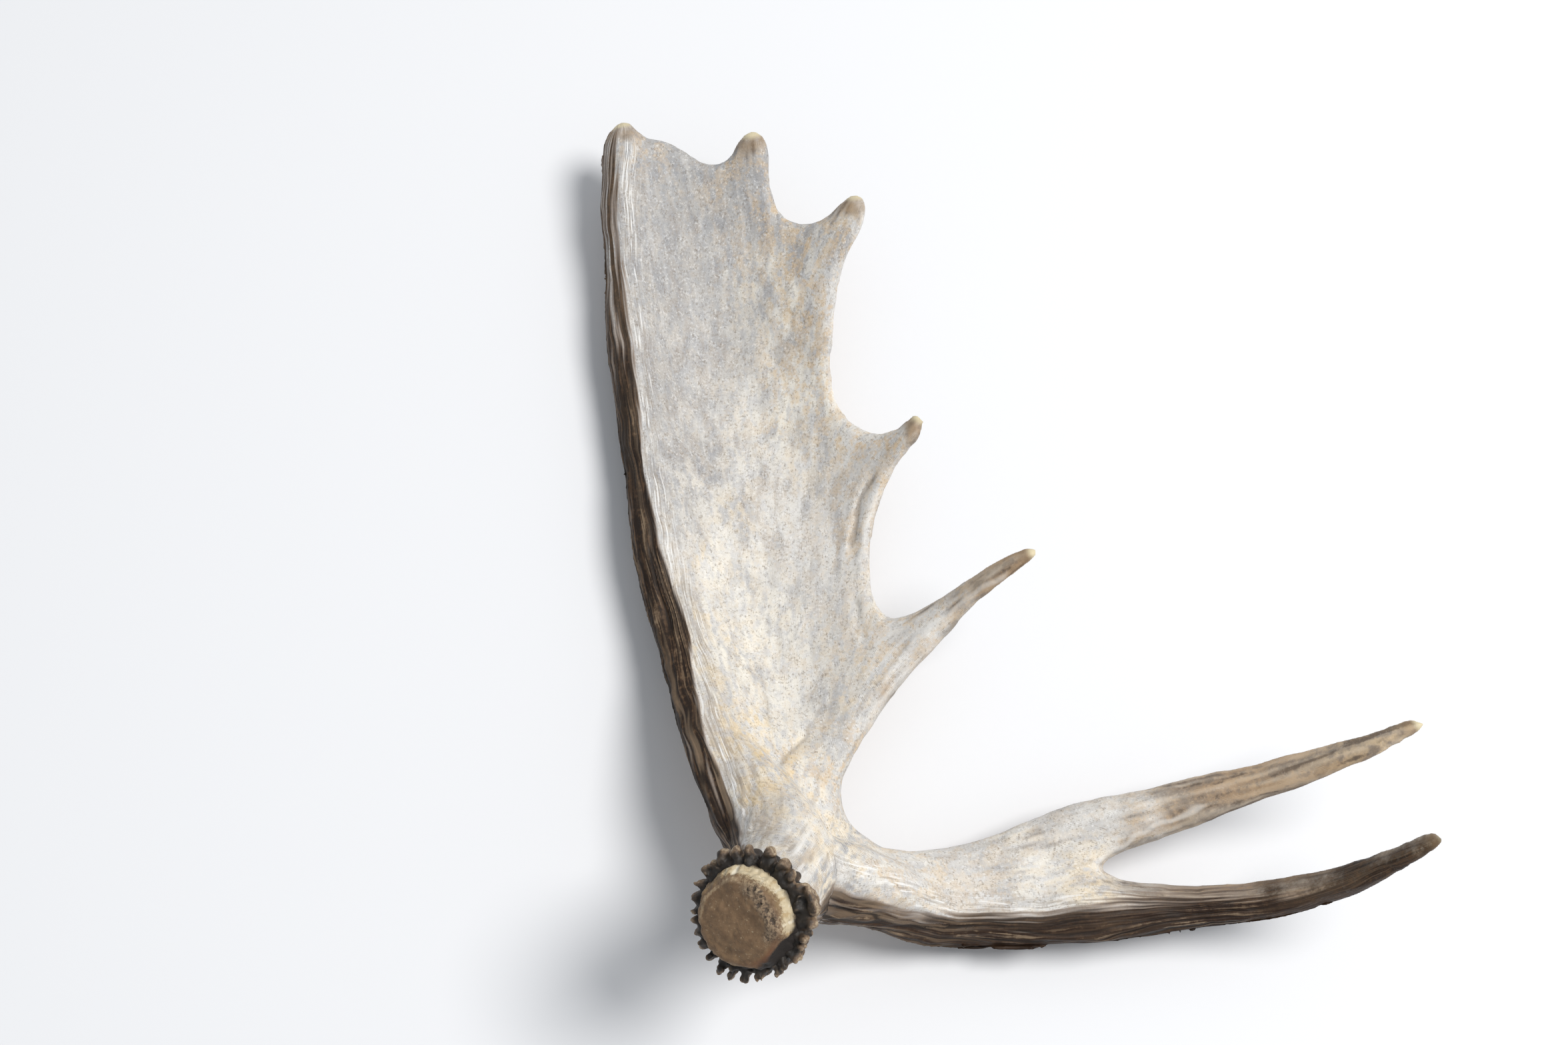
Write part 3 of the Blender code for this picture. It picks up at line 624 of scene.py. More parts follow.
# Patches of colour: name, then rows of (x, y, radius, strength)
PATCHES = {
    # Darker grey patches: partly the bone's own grey, partly painted shade, most of all on the palm's left
    # and top
    "grey_and_painted_shade": [(-80, 235, 60, 0.9), (-20, 240, 50, 0.8), (-90, 160, 44, 0.7), (-40, 170, 44, 0.5),
             (30, 190, 36, 0.4), (-84, 90, 40, 0.75), (-70, 30, 34, 0.6), (-40, 110, 30, 0.4),
             (-60, -10, 20, 0.3), (26, -196, 18, 1.0), (125, -199, 20, 0.3), (40, -112, 20, 0.5),
             (24, -144, 16, 0.35), (10, -50, 22, 0.25)],
    # Cream patches: partly the bone's own cream, partly painted light, most of all on the palm's right
    "cream_and_painted_light": [(-38, 30, 30, 0.45), (-36, -30, 30, 0.6), (-34, -90, 36, 0.9), (-20, -60, 30, 0.6),
              (10, -95, 34, 0.3), (-12, -126, 20, 0.9), (12, 75, 36, 1.0), (2, 150, 28, 0.9),
              (34, 100, 20, 0.6), (-14, -146, 18, 0.9), (-14, -172, 14, 1.0), (-38, -88, 18, 0.9),
              (350, -126, 40, 0.8), (6, -160, 24, 0.8), (22, -178, 16, 1.0),
              (40, -196, 18, 0.8), (146, -203, 20, 0.7), (172, -208, 16, 0.6), (196, -214, 14, 0.7),
              (70, -212, 20, 0.5), (50, 70, 18, 0.5), (20, 190, 16, 0.4), (60, -42, 16, 0.5)],
    "ochre": [(-58, -28, 7, 0.4), (-50, -64, 8, 0.45), (-44, -88, 8, 0.45), (-37, -108, 9, 0.55),
              (-25, -124, 9, 0.65), (-13, -139, 10, 0.95), (-4, -152, 8, 0.5), (14, -172, 14, 0.4),
              (30, -188, 14, 0.4), (196, -213, 10, 0.4), (180, -206, 10, 0.3), (60, -50, 14, 0.25),
              (20, 30, 16, 0.2), (-40, 10, 10, 0.3), (52, -106, 14, 0.3)],
    "tan": [(10, 190, 40, 0.75), (30, 140, 34, 0.7), (-20, 235, 26, 0.6), (-95, 255, 20, 0.6),
            (20, 90, 34, 0.6), (60, 52, 24, 0.8), (50, -80, 26, 0.5), (100, -60, 30, 0.7),
            (40, -140, 16, 0.6), (-34, -110, 14, 0.4), (60, -210, 26, 0.5), (110, -212, 26, 0.3),
            (230, -170, 26, 0.6), (-10, -150, 16, 0.5), (44, 0, 20, 0.4), (24, -148, 18, 0.65)],
    "grey": [(-85, 190, 40, 0.8), (-80, 110, 40, 0.8), (-40, 150, 40, 0.5), (-60, 40, 34, 0.7),
             (20, 180, 40, 0.7), (-10, 235, 30, 0.8), (30, 130, 24, 0.4), (24, -195, 16, 0.9),
             (10, 20, 30, 0.5), (0, 120, 26, 0.5), (40, -10, 24, 0.5), (20, -120, 18, 0.5),
             (120, -220, 22, 0.5), (-10, -195, 22, 0.7), (30, -206, 16, 0.7)],
    "brown": [(285, -150, 60, 0.7), (350, -126, 50, 0.9), (240, -172, 40, 0.35), (250, -228, 44, 0.8),
              (310, -218, 50, 0.95), (360, -192, 40, 1.0), (148, -20, 30, 1.0), (120, -44, 24, 0.75),
              (96, -76, 18, 0.6), (70, -108, 16, 0.5), (50, -136, 12, 0.4), (150, -186, 14, 0.4),
              (-108, 266, 12, 0.6), (-22, 258, 14, 0.7), (46, 212, 16, 0.8), (86, 64, 14, 0.7)],
    "dark": [(250, -252, 30, 0.8), (300, -250, 28, 0.9), (335, -222, 30, 0.9), (356, -204, 24, 0.85),
             (374, -190, 22, 0.6), (150, -22, 22, 0.25)]}

PATCH_DRIFT = 7.0

# Blotches: name, spacing, length and seed
BLOTCHES = [("cloud", 11.0, 12, 21), ("cool", 6.0, 8, 22), ("warm", 3.6, 6, 23), ("mottle", 2.4, 3, 24)]

# Fields that only the relief needs
RELIEF_FIELDS = ("rear", "plain")


def find_blotches(skin):
    """Blotches a little drawn out along the growth, each a field with unit spread."""
    for name, pitch, reach, seed in BLOTCHES:
        skin.fields[name] = skin.strands(pitch, reach, seed)


def find_patches(skin):
    """Strength of each kind of colour patch, with ragged edges."""
    drift = PATCH_DRIFT * np.c_[skin.noise(16.0, 11), skin.noise(16.0, 12)]
    place = skin.points[:, :2] + drift
    for name, rows in PATCHES.items():
        left = np.ones(len(place))
        for x, y, radius, strength in rows:
            away = np.hypot(place[:, 0] - x, place[:, 1] - y)
            left *= 1 - strength * bell(away, radius)
        skin.fields[name] = 1 - left


def nearest_nodes(skin):
    """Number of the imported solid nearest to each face: the skin is parted at the forks."""
    solids = bmesh.new()
    owner = []
    for number, node in enumerate(NODES):
        mesh = frame["nodes"][node].data
        solids.from_mesh(mesh)
        owner += [number] * len(mesh.polygons)
    tree = BVHTree.FromBMesh(solids)
    solids.free()
    middles = to_rest(skin.points[skin.quads[:, :3]].mean(axis=1))
    return np.array([owner[tree.find_nearest(Vector(place))[2]] for place in middles])


def store(mesh, name, values):
    """Keep a field of numbers or vectors on the mesh for the material."""
    kind = "FLOAT" if values.ndim == 1 else "FLOAT_VECTOR"
    layer = mesh.attributes.new(name, kind, "POINT")
    layer.data.foreach_set("value" if values.ndim == 1 else "vector", values.astype(np.float32).ravel())


def build_piece(name, skin, quads, fields, node, material):
    """A piece made of some of a skin's faces, its slopes kept so that no seam shows."""
    used, inverse = np.unique(quads, return_inverse=True)
    quads = inverse.reshape(quads.shape)
    mesh = bpy.data.meshes.new(name)
    faces = [row[:3] if row[2] == row[3] else row for row in quads.tolist()]
    mesh.from_pydata(to_rest(skin.points[used]), [], faces)
    mesh.shade_smooth()
    turn = np.array(LAY)[:3, :3]
    if skin.growth is not None:
        store(mesh, "growth", skin.growth[used] @ turn.T)
    for field in fields:
        store(mesh, field, skin.fields[field][used])
    mesh.normals_split_custom_set_from_vertices((skin.normals[used] @ turn.T).tolist())
    mesh.materials.append(material)
    piece = plain_object(name, mesh)
    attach(piece, "root")
    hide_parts(node)


# ---- burr and seal ------------------------------------------------------------------------

# Teeth of the burr: (degrees round from +X, length, half-width in degrees)
TEETH = [
    (17, 8.7, 13), (-2, 6.5, 7), (-16, 3.0, 5), (-25, 2.5, 4), (-37, 3.5, 6), (-51, 1.0, 5),
    (-62, 3.0, 5), (-81, 2.0, 6), (-98, 5.4, 4), (-111, 7.3, 3.6), (-122, 8.0, 4), (-136, 7.0, 3.6),
    (-148, 5.0, 6), (-160, 4.5, 6), (-172, 3.5, 5), (178, 2.5, 5), (166, 3.6, 6), (153, 3.4, 6),
    (138, 5.2, 5), (128, 4.0, 5), (115, 6.0, 7), (101, 5.9, 6), (88, 6.5, 6), (69, 9.0, 6),
    (54, 8.0, 6), (43, 6.0, 6)]
LOBE = 0
BURR_RADIUS = 32.0
TURNED_SIDES = 96

# Notches between the teeth: deepest, and their share of a tooth's length, less on the left
NOTCH_MOST = 3.2
NOTCH_SHARE = 0.5
NOTCH_LEFT = 0.3
LEFT_FROM = 140.0

# Grid of the burr and the seal, and how far each is smoothed
BURR_VOXEL = 0.7
RING_SMOOTH = 0.9
SEAL_SMOOTH = 1.4

# Collar and seal, turned from rows of (radius, height)
RING_PROFILE = [(20, -18), (24.5, -15), (27, -10), (29.5, -6), (31.0, -3), (30.0, -0.8), (28.0, -3.5),
                (20, -4)]
SEAL_PROFILE = [(18, -8), (29.5, -6), (28.6, -2), (27.4, 2), (26.2, 6), (25.2, 9), (24.0, 11.0),
                (22.3, 12.2), (19, 12.7), (10, 13.0), (0.01, 13.0)]


def burr_matrix():
    """Place in upright metres with its Z along the burr's normal and its X to the right."""
    normal = Vector(BURR_NORMAL).normalized()
    across = Vector((0, 1, 0)).cross(normal).normalized()
    up = normal.cross(across)
    turn = Matrix((across, up, normal)).transposed().to_4x4()
    return Matrix.Translation(Vector(BURR_CENTRE) * MM) @ turn


def add_turned(shape, profile, sides):
    """Turn a closed profile of (radius, height) round Z."""
    rings = []
    for radius, height in profile:
        ring = []
        for k in range(sides):
            angle = 2 * math.pi * k / sides
            ring.append(shape.verts.new((radius * math.cos(angle) * MM, radius * math.sin(angle) * MM,
                                         height * MM)))
        rings.append(ring)
    for lower, upper in zip(rings[:-1], rings[1:]):
        for k in range(sides):
            after = (k + 1) % sides
            shape.faces.new((lower[k], lower[after], upper[after], upper[k]))
    shape.faces.new(rings[-1])
    shape.faces.new(list(reversed(rings[0])))


def add_knob(shape, degrees, radius, height, size, lean):
    """One round knob of the burr: size is (radial, across, high), lean tips it forward."""
    place = (Matrix.Rotation(math.radians(degrees), 4, "Z")
             @ Matrix.Translation((radius * MM, 0, height * MM))
             @ Matrix.Rotation(math.radians(-lean), 4, "Y")
             @ Matrix.Diagonal((size[0] * MM, size[1] * MM, size[2] * MM, 1)))
    bmesh.ops.create_icosphere(shape, subdivisions=3, radius=1.0, matrix=place)


def ring_shape():
    """Burr: a collar with a blunt tooth for each of the big knobs and small pearls on them."""
    shape = bmesh.new()
    add_turned(shape, RING_PROFILE, TURNED_SIDES)
    dice = np.random.default_rng(21)
    for number, (degrees, length, spread) in enumerate(TEETH):
        end = BURR_RADIUS + length
        across = math.radians(spread) * end * dice.uniform(0.92, 1.06)
        high = -3.2 + dice.uniform(-1.0, 1.0)
        share = NOTCH_LEFT if abs(degrees) > LEFT_FROM else NOTCH_SHARE
        notch = min(NOTCH_MOST, share * length)
        blunt = 0.60 + 0.018 * spread
        add_knob(shape, degrees, BURR_RADIUS - 4, high - 1.0, (4.0 + length - notch, 1.25 * across, 4.6), 0)
        add_knob(shape, degrees, end - 3.4, high - 0.2, (3.4, blunt * across, dice.uniform(3.0, 4.0)),
                 dice.uniform(-4, 10))
        add_knob(shape, degrees, BURR_RADIUS - 4, -8.5, (5.0 + 0.3 * length, 1.1 * across, 5.5), -35)
        if number == LOBE:
            add_knob(shape, degrees, BURR_RADIUS + 1, high - 4.4, (7.0, 1.1 * across, 4.6), 0)
        for _ in range(2):
            small = dice.uniform(0.9, 1.6)
            add_knob(shape, degrees + spread * dice.uniform(-0.5, 0.5),
                     BURR_RADIUS + length * dice.uniform(-0.3, 0.6),
                     high + dice.uniform(2.4, 3.6), (small * 1.6, small, small), 10)
    return shape


def seal_shape():
    """Seal: the domed stub that the skull held."""
    shape = bmesh.new()
    add_turned(shape, SEAL_PROFILE, TURNED_SIDES)
    return shape


def to_upright_place(skin):
    """Carry a skin made round Z to the burr's place."""
    place = np.array(burr_matrix())
    skin.points = skin.points @ place[:3, :3].T + place[:3, 3] / MM
    skin.normals = skin.normals @ place[:3, :3].T


def tooth_reach(degrees):
    """Radius that the burr's teeth reach at each angle."""
    reach = np.full(len(degrees), BURR_RADIUS - 1.0)
    for angle, length, spread in TEETH:
        apart = np.abs((degrees - angle + 180) % 360 - 180) / (1.3 * spread)
        reach = np.maximum(reach, BURR_RADIUS + length - 6 * rise(apart, 0.2, 1.2))
    return reach


def build_ring(material):
    """Burr ring with its knobs, hollows and worn tips, and where its painted shade lies."""
    skin = Skin(grow(ring_shape(), BURR_VOXEL), BURR_VOXEL, RING_SMOOTH)
    x, y, z = skin.points.T
    out = np.hypot(x, y)
    degrees = np.degrees(np.arctan2(y, x))
    round_part = np.c_[np.radians(degrees) * BURR_RADIUS, out * 0.35, z * 0.35]
    ribs = soft_noise(round_part, 3.0, 31)
    skin.height += 0.45 * ribs * rise(out, 24, 29) + 0.30 * skin.noise(3.2, 32) + 0.10 * skin.noise(1.5, 33)
    angle, _, spread = TEETH[LOBE]
    hollow = bell(degrees - angle, 0.60 * spread) * bell(out - BURR_RADIUS - 1.6, 3.4)
    skin.height -= 1.6 * hollow * rise(skin.normals[:, 2], 0.0, 0.6)
    skin.raise_up()
    inward = tooth_reach(degrees) - out
    skin.fields["outer"] = 1 - rise(inward + 0.7 * skin.noise(3.0, 34), 0.0, 3.5)
    # Painted shade: deep among the teeth and in the lobe's hollow, where shade falls.
    deep = rise(inward + 0.5 * skin.noise(2.5, 35), 2.5, 6.0)
    skin.fields["deep"] = np.maximum(deep, rise(hollow, 0.15, 0.6))
    to_upright_place(skin)
    build_piece("burr_ring", skin, skin.quads, skin.fields, "beam", material)


def build_seal(material):
    """Seal: lightly lumpy face, rough and pitted on its right, with a pale crust on the flank there."""
    skin = Skin(grow(seal_shape(), BURR_VOXEL), BURR_VOXEL, SEAL_SMOOTH)
    x, y, z = skin.points.T
    out = np.hypot(x, y)
    turned = np.arctan2(y, x)
    angle = np.degrees(turned)

    def towards(degrees, low, high):
        """1 on the side that lies at an angle."""
        return rise(np.cos(np.radians(angle - degrees)), low, high)

    wobble = 1.1 * soft_noise(np.c_[np.cos(turned) * 30, np.sin(turned) * 30, z], 16, 41)
    face = rise(z, 10.0, 12.3)
    flank = rise(out, 23.5, 25.5) * rise(z, -4, 0)
    rim = bell(out - 22.4 - 0.6 * wobble, 1.5) * rise(z, 8, 11) * (
        0.25 + 0.75 * towards(115, 0.1, 0.7))
    crust = bell(z - 3.8 - 1.5 * wobble, 4.0) * rise(out, 21, 24.5) * towards(45, 0.05, 0.6)
    rough = bell(out - 19.5 - 0.8 * wobble, 4.0) * rise(z, 10, 12) * towards(25, 0.35, 0.9)
    pits = rough * rise(skin.noise(1.7, 42), 0.9, 2.0)
    swirl = soft_noise(np.c_[out * 0.9 + turned * 3.0, z * 0.2, turned * 2.0], 4.0, 48)
    ribs = soft_noise(np.c_[turned * 26, z * 0.2, out * 0.2], 2.2, 47)
    skin.height += 0.8 * wobble * rise(z, -3, 4) * rise(out, 8, 22)
    skin.height += 0.28 * skin.noise(8.0, 43) + 0.16 * skin.noise(3.0, 44) + 0.09 * skin.noise(1.5, 45)
    skin.height += 0.22 * swirl * face * (1 - rise(out, 15, 20)) + 0.35 * flank * ribs
    skin.height += (crust + rough) * (0.3 + 0.28 * skin.noise(1.6, 46)) + 0.3 * rim - 0.9 * pits
    skin.raise_up()
    low = 9.0 * bell(angle + 55, 38)
    skin.fields.update(
        ribs=ribs, crust=crust, rough=rough, pits=pits, flank=flank, rim=rim, swirl=swirl,
        # Painted shade at the seal's foot, where it meets the burr; it reaches higher on one side
        deep=1 - rise(z - low + 0.8 * wobble, -2, 3),
        stain=bell(angle + 50, 30) * rise(out, 20, 24))
    to_upright_place(skin)
    build_piece("pedicle_seal", skin, skin.quads, skin.fields, "beam", material)


# ---- materials ----------------------------------------------------------------------------

def tint(code):
    """Linear colour from a six-digit code."""
    parts = [int(code[k:k + 2], 16) / 255 for k in (0, 2, 4)]
    return tuple(p / 12.92 if p <= 0.04045 else ((p + 0.055) / 1.055) ** 2.4 for p in parts) + (1.0,)


# Fine threads: pitches to a cell of the texture, and its direction socket
GRAIN_PITCHES = 4.0
GABOR_DIRECTION = 5


class Graph:
    """Short words for building a material's nodes."""

    def __init__(self, name):
        self.material = bpy.data.materials.new(name)
        self.material.use_nodes = True
        self.tree = self.material.node_tree
        self.shader = self.tree.nodes["Principled BSDF"]
        self.place = self.add("ShaderNodeTexCoord").outputs["Object"]

    def add(self, kind, sockets=None, **settings):
        """New node with its settings, and its sockets fed."""
        node = self.tree.nodes.new(kind)
        for key, value in settings.items():
            setattr(node, key, value)
        for socket, value in (sockets or {}).items():
            self.feed(node.inputs[socket], value)
        return node

    def feed(self, socket, value):
        """Link an output to a socket, or set the socket to a number or colour."""
        if isinstance(value, bpy.types.NodeSocket):
            self.tree.links.new(value, socket)
        else:
            socket.default_value = value

    def field(self, name, output="Fac"):
        """A number stored on the mesh, or a direction from the output Vector."""
        return self.add("ShaderNodeAttribute", attribute_name=name).outputs[output]

    def cloud(self, place, scale, shift, detail, roughness=0.5):
        """Noise texture at a place."""
        sockets = {"Vector": place, "W": shift, "Scale": scale, "Detail": detail, "Roughness": roughness}
        return self.add("ShaderNodeTexNoise", sockets, noise_dimensions="4D").outputs["Fac"]

    def noise(self, size, detail, roughness, shift=0.0):
        """Noise with features of about that size in millimetres."""
        return self.cloud(self.place, 1 / (size * MM), shift, detail, roughness)

    def grain(self, pitch):
        """Fine threads along the growth, about a pitch in millimetres apart."""
        normal = self.add("ShaderNodeNewGeometry").outputs["Normal"]
        across = self.add("ShaderNodeVectorMath", {0: self.field("growth", "Vector"), 1: normal},
                          operation="CROSS_PRODUCT")
        sockets = {"Vector": self.place, "Scale": 1 / (GRAIN_PITCHES * pitch * MM), "Anisotropy": 1.0,
                   "Frequency": GRAIN_PITCHES, GABOR_DIRECTION: across.outputs["Vector"]}
        return self.add("ShaderNodeTexGabor", sockets, gabor_type="3D").outputs["Value"]

    def lines(self, pitch, shift):
        """Noise drawn out along the limbs, with lines about a pitch in millimetres apart."""
        place = self.add("ShaderNodeCombineXYZ", {"X": self.field("over"), "Y": self.field("along")})
        return self.cloud(place.outputs["Vector"], 1 / pitch, shift, 1.0)

    def maths(self, operation, first, second=0.0, third=0.0):
        """One sum."""
        return self.add("ShaderNodeMath", {0: first, 1: second, 2: third}, operation=operation).outputs[0]

    def linear(self, value, factor, plus):
        """The value times a factor, plus another."""
        return self.maths("MULTIPLY_ADD", value, factor, plus)

    def centred(self, value):
        """Noise moved so that its middle is 0."""
        return self.maths("SUBTRACT", value, 0.5)

    def rise(self, value, low, high):
        """Smooth step from 0 at low to 1 at high."""
        sockets = {"Value": value, "From Min": low, "From Max": high}
        return self.add("ShaderNodeMapRange", sockets, interpolation_type="SMOOTHSTEP").outputs["Result"]

    def times(self, *values):
        """Product of several numbers."""
        total = values[0]
        for value in values[1:]:
            total = self.maths("MULTIPLY", total, value)
        return total

    def mix(self, amount, first, second):
        """Colour from the first to the second."""
        return self.add("ShaderNodeMix", {0: amount, 6: first, 7: second}, data_type="RGBA").outputs[2]

    def layers(self, colour, rows):
        """Lay colours on in turn: rows of colour, share, then (value, low, high) that fades it in."""
        for over, share, *fades in rows:
            amount = self.times(share, *[self.rise(*fade) for fade in fades])
            colour = self.mix(amount, colour, tint(over) if isinstance(over, str) else over)
        return colour

    def bump(self, height, depth, under=None):
        """Slope from a height that swings over a depth in millimetres."""
        sockets = {"Height": height, "Distance": depth * MM, "Strength": 1.0}
        if under is not None:
            sockets["Normal"] = under
        return self.add("ShaderNodeBump", sockets).outputs["Normal"]

    def finish(self, colour, roughness, slope):
        """Feed the shader and give the material."""
        for name, value in (("Base Color", colour), ("Roughness", roughness), ("Normal", slope)):
            self.feed(self.shader.inputs[name], value)
        return self.material


def bone_ground(g, small, speck, thread):
    """Colours of the worn bone: grey and cream ground, blotches, flecks and fibres; the darker grey is
    partly painted shade and the cream partly painted light.
    """
    rag = g.times(g.centred(small), 8.0)
    cloud, cool, warm, mottle = [g.maths("ADD", g.field(row[0]), rag) for row in BLOTCHES]
    grey_and_painted_shade, cream_and_painted_light, ochre, tan, grey = [g.field(name) for name in ("grey_and_painted_shade", "cream_and_painted_light", "ochre", "tan", "grey")]
    creamy = g.times(g.maths("ADD", cream_and_painted_light, 0.16), 0.9)
    tanned = g.linear(tan, 0.75, g.linear(grey_and_painted_shade, -0.14, 0.20))
    tanned = g.times(tanned, g.linear(g.rise(small, 0.40, 0.60), 0.6, 0.4))
    yellowed = g.times(g.linear(cream_and_painted_light, 0.12, g.maths("ADD", ochre, 0.05)), 0.85)
    colour = g.mix(g.rise(cloud, -1.8, 1.8), tint("c7c4c1"), tint("d8d5d1"))
    return g.layers(colour, [
        # Darker grey, partly painted shade
        ("9b9b9d", grey_and_painted_shade),
        # Cream, partly painted light
        ("ede9e0", creamy, (mottle, -2.4, 1.8)),
        ("99989a", g.linear(grey, 0.55, 0.28), (cool, 0.0, 1.3)),
        ("d3b894", tanned, (warm, -0.9, 1.1)),
        ("e9ce9f", yellowed, (mottle, -1.8, 1.6)),
        ("877868", 0.55, (speck, 0.54, 0.66)),
        ("f6f3ef", 0.45, (speck, 0.45, 0.32)),
        ("6f604f", 0.60, (thread, 0.55, 0.70), (speck, 0.47, 0.57)),
        ("f6f4f1", 0.50, (thread, 0.45, 0.30), (speck, 0.53, 0.43))])


def bone_streaks(g, colour, small):
    """Pale and brown streaks of the neck, the streaked border and the hair lines inside the crests."""
    neck, coarse, crest = [g.field(name) for name in ("neck", "coarse", "crest")]
    fibre = g.linear(g.field("fine"), 0.6, g.times(g.field("middle"), 0.6))
    lively = g.linear(neck, 0.45, 0.15)
    broad = g.linear(g.centred(small), 0.7, g.lines(1.8, 3.0))
    streaked = g.linear(g.rise(broad, 0.42, 0.58), 0.68, 0.32)
    hair = g.lines(1.3, 7.0)
    return g.layers(colour, [
        ("e4e2df", g.times(neck, 0.50), (coarse, 0.1, 1.3)),
        ("c0aa8e", g.times(neck, 0.45), (coarse, -0.2, -1.4)),
        ("efece8", lively, (fibre, 0.5, 1.9)),
        ("94887c", g.times(lively, 0.8), (fibre, -0.6, -2.0)),
        ("998b7b", g.times(g.field("border"), streaked, 0.70)),
        ("968a7d", g.times(crest, 0.6), (hair, 0.46, 0.34)),
        ("f4f2ef", g.times(crest, 0.8), (hair, 0.58, 0.66))])


def bone_wood(g, colour, small, speck, thread):
    """Brown of the tines and the back, streaked along the growth."""
    rag = g.times(g.centred(small), 5.0)
    coarse, middle, mottle = [g.maths("ADD", g.field(name), rag) for name in ("coarse", "middle", "mottle")]
    stain = g.maths("MAXIMUM", g.field("brown"), g.times(g.field("back"), 0.62))
    fibre = g.linear(g.field("fine"), 0.6, g.times(middle, 0.7))
    wood = g.mix(g.rise(middle, 1.4, -1.6), tint("b8a793"), tint("8a7a6a"))
    wood = g.layers(wood, [
        ("b8946a", 0.40, (coarse, -0.2, 1.3)),
        ("dcc29c", g.times(g.field("cream_and_painted_light"), 0.75), (mottle, -1.5, 1.5)),
        ("7f7468", 0.40, (mottle, -0.4, -1.8)),
        ("8a847e", 0.38, (coarse, -0.3, -1.6)),
        ("5d4e40", 0.65, (fibre, -0.7, -1.7)),
        ("5d4e40", 0.45, (thread, 0.56, 0.74), (small, 0.46, 0.60)),
        ("d0c3b3", 0.25, (speck, 0.46, 0.32))])
    return g.mix(g.rise(g.linear(fibre, -0.06, stain), 0.08, 0.80), colour, wood)


def bone_bark(g, colour, small):
    """Brown bark of the flanks, partly real brown and partly painted shade where they turn from the light:
    broken into lines at its edge, darker inside, with worn ridges.
    """
    hair = g.linear(g.centred(small), 0.5, g.lines(1.7, 0.0))
    broad = g.lines(3.6, 5.0)
    depth = g.field("furrow")
    line = g.maths("ABSOLUTE", g.field("line"))
    worn = g.linear(g.field("worn"), 0.66, 0.14)
    shown = g.linear(g.field("neck"), 0.04, broad)
    # Dark bark: partly the bark's own brown, partly painted shade of the flanks turned from the light
    dark = g.mix(g.rise(hair, 0.62, 0.44), tint("4d3a2a"), tint("271b12"))
    dark = g.layers(dark, [
        ("634a33", 0.35, (small, 0.50, 0.66)),
        ("98836c", worn, (shown, 0.46, 0.60)),
        # Darker and warmer on the brow's underside: partly its brown stain, partly painted shade
        ("2e1a0c", g.times(g.field("under"), 0.55))])
    bark = g.field("bark")
    bark = g.maths("ADD", bark, g.times(g.centred(broad), g.rise(bark, 0.0, 0.3), 2.0))
    patch = g.linear(g.centred(small), 1.2, g.field("dark"))
    return g.layers(colour, [
        ("978678", 0.75, (bark, 0.06, 0.35)),
        (dark, 1.0, (bark, 0.22, 0.66)),
        (dark, 1.0, (patch, 0.15, 0.9)),
        ("9a866e", g.times(depth, 0.6), (line, 0.35, 0.8), (hair, 0.54, 0.66)),
        ("1d1510", 0.85, (depth, 0.05, 0.8), (line, 0.34, 0.06))])


def bone_material():
    """Dry antler: grey and cream mottling, fibres, brown furrows and polished tips."""
    g = Graph("dry antler")
    small = g.noise(3.6, 5, 0.72, 5.0)
    speck = g.noise(1.5, 4, 0.74, 8.0)
    thread = g.grain(1.0)
    colour = bone_ground(g, small, speck, thread)
    colour = bone_streaks(g, colour, small)
    colour = bone_wood(g, colour, small, speck, thread)
    colour = bone_bark(g, colour, small)
    mark, tip = g.field("mark"), g.field("tip")
    colour = g.layers(colour, [
        # Painted highlight: lighter along the raised marks; darker along the sunken ones
        ("7b6a58", 0.45, (mark, -0.25, -1.1)),
        ("f0ede8", 0.35, (mark, 0.25, 0.9)),
        ("93795a", 0.45, (tip, 0.15, 0.55)),
        ("d9cba9", 1.0, (tip, 0.58, 0.80))])
    rough = g.linear(g.rise(small, 0.3, 0.7), 0.12, 0.52)
    polish = g.maths("MAXIMUM", g.rise(tip, 0.2, 0.8), g.field("dark"))
    g.shader.inputs["Specular IOR Level"].default_value = 0.25
    slope = g.bump(speck, 0.22)
    slope = g.bump(thread, 0.08, slope)
    flank = g.maths("MAXIMUM", g.field("crest"), g.field("bark"))
    slope = g.bump(g.times(flank, g.lines(1.5, 7.0)), 0.7, slope)
    line = g.maths("ABSOLUTE", g.field("line"))
    slope = g.bump(g.times(g.field("furrow"), g.rise(line, 0.0, 0.5)), 0.5, slope)
    return g.finish(colour, g.linear(polish, -0.16, rough), slope)


def ring_material():
    """Burr: painted shade, near black, in its hollows and concave creases; brown knobs with pale worn ends.
    """
    g = Graph("burr")
    patch = g.noise(5, 4, 0.6)
    small = g.noise(1.6, 4, 0.6, 4.0)
    worn = g.linear(g.rise(small, 0.3, 0.7), 0.5, g.maths("SUBTRACT", g.field("outer"), 0.45))
    edge = g.add("ShaderNodeNewGeometry").outputs["Pointiness"]
    colour = g.mix(g.rise(patch, 0.35, 0.65), tint("241c15"), tint("443527"))
    colour = g.layers(colour, [
        ("705b46", 1.0, (worn, -0.1, 0.65)),
        ("a8957b", 1.0, (worn, 0.55, 1.0)),
        # Painted shade in the hollows and among the teeth
        ("18130e", g.times(g.field("deep"), 0.85)),
        # Painted shade in the concave creases; lighter on the convex edges
        ("120e0a", 1.0, (edge, 0.50, 0.42)),
        ("8a7660", 0.5, (edge, 0.53, 0.60))])
    return g.finish(colour, 0.6, g.bump(small, 0.35))


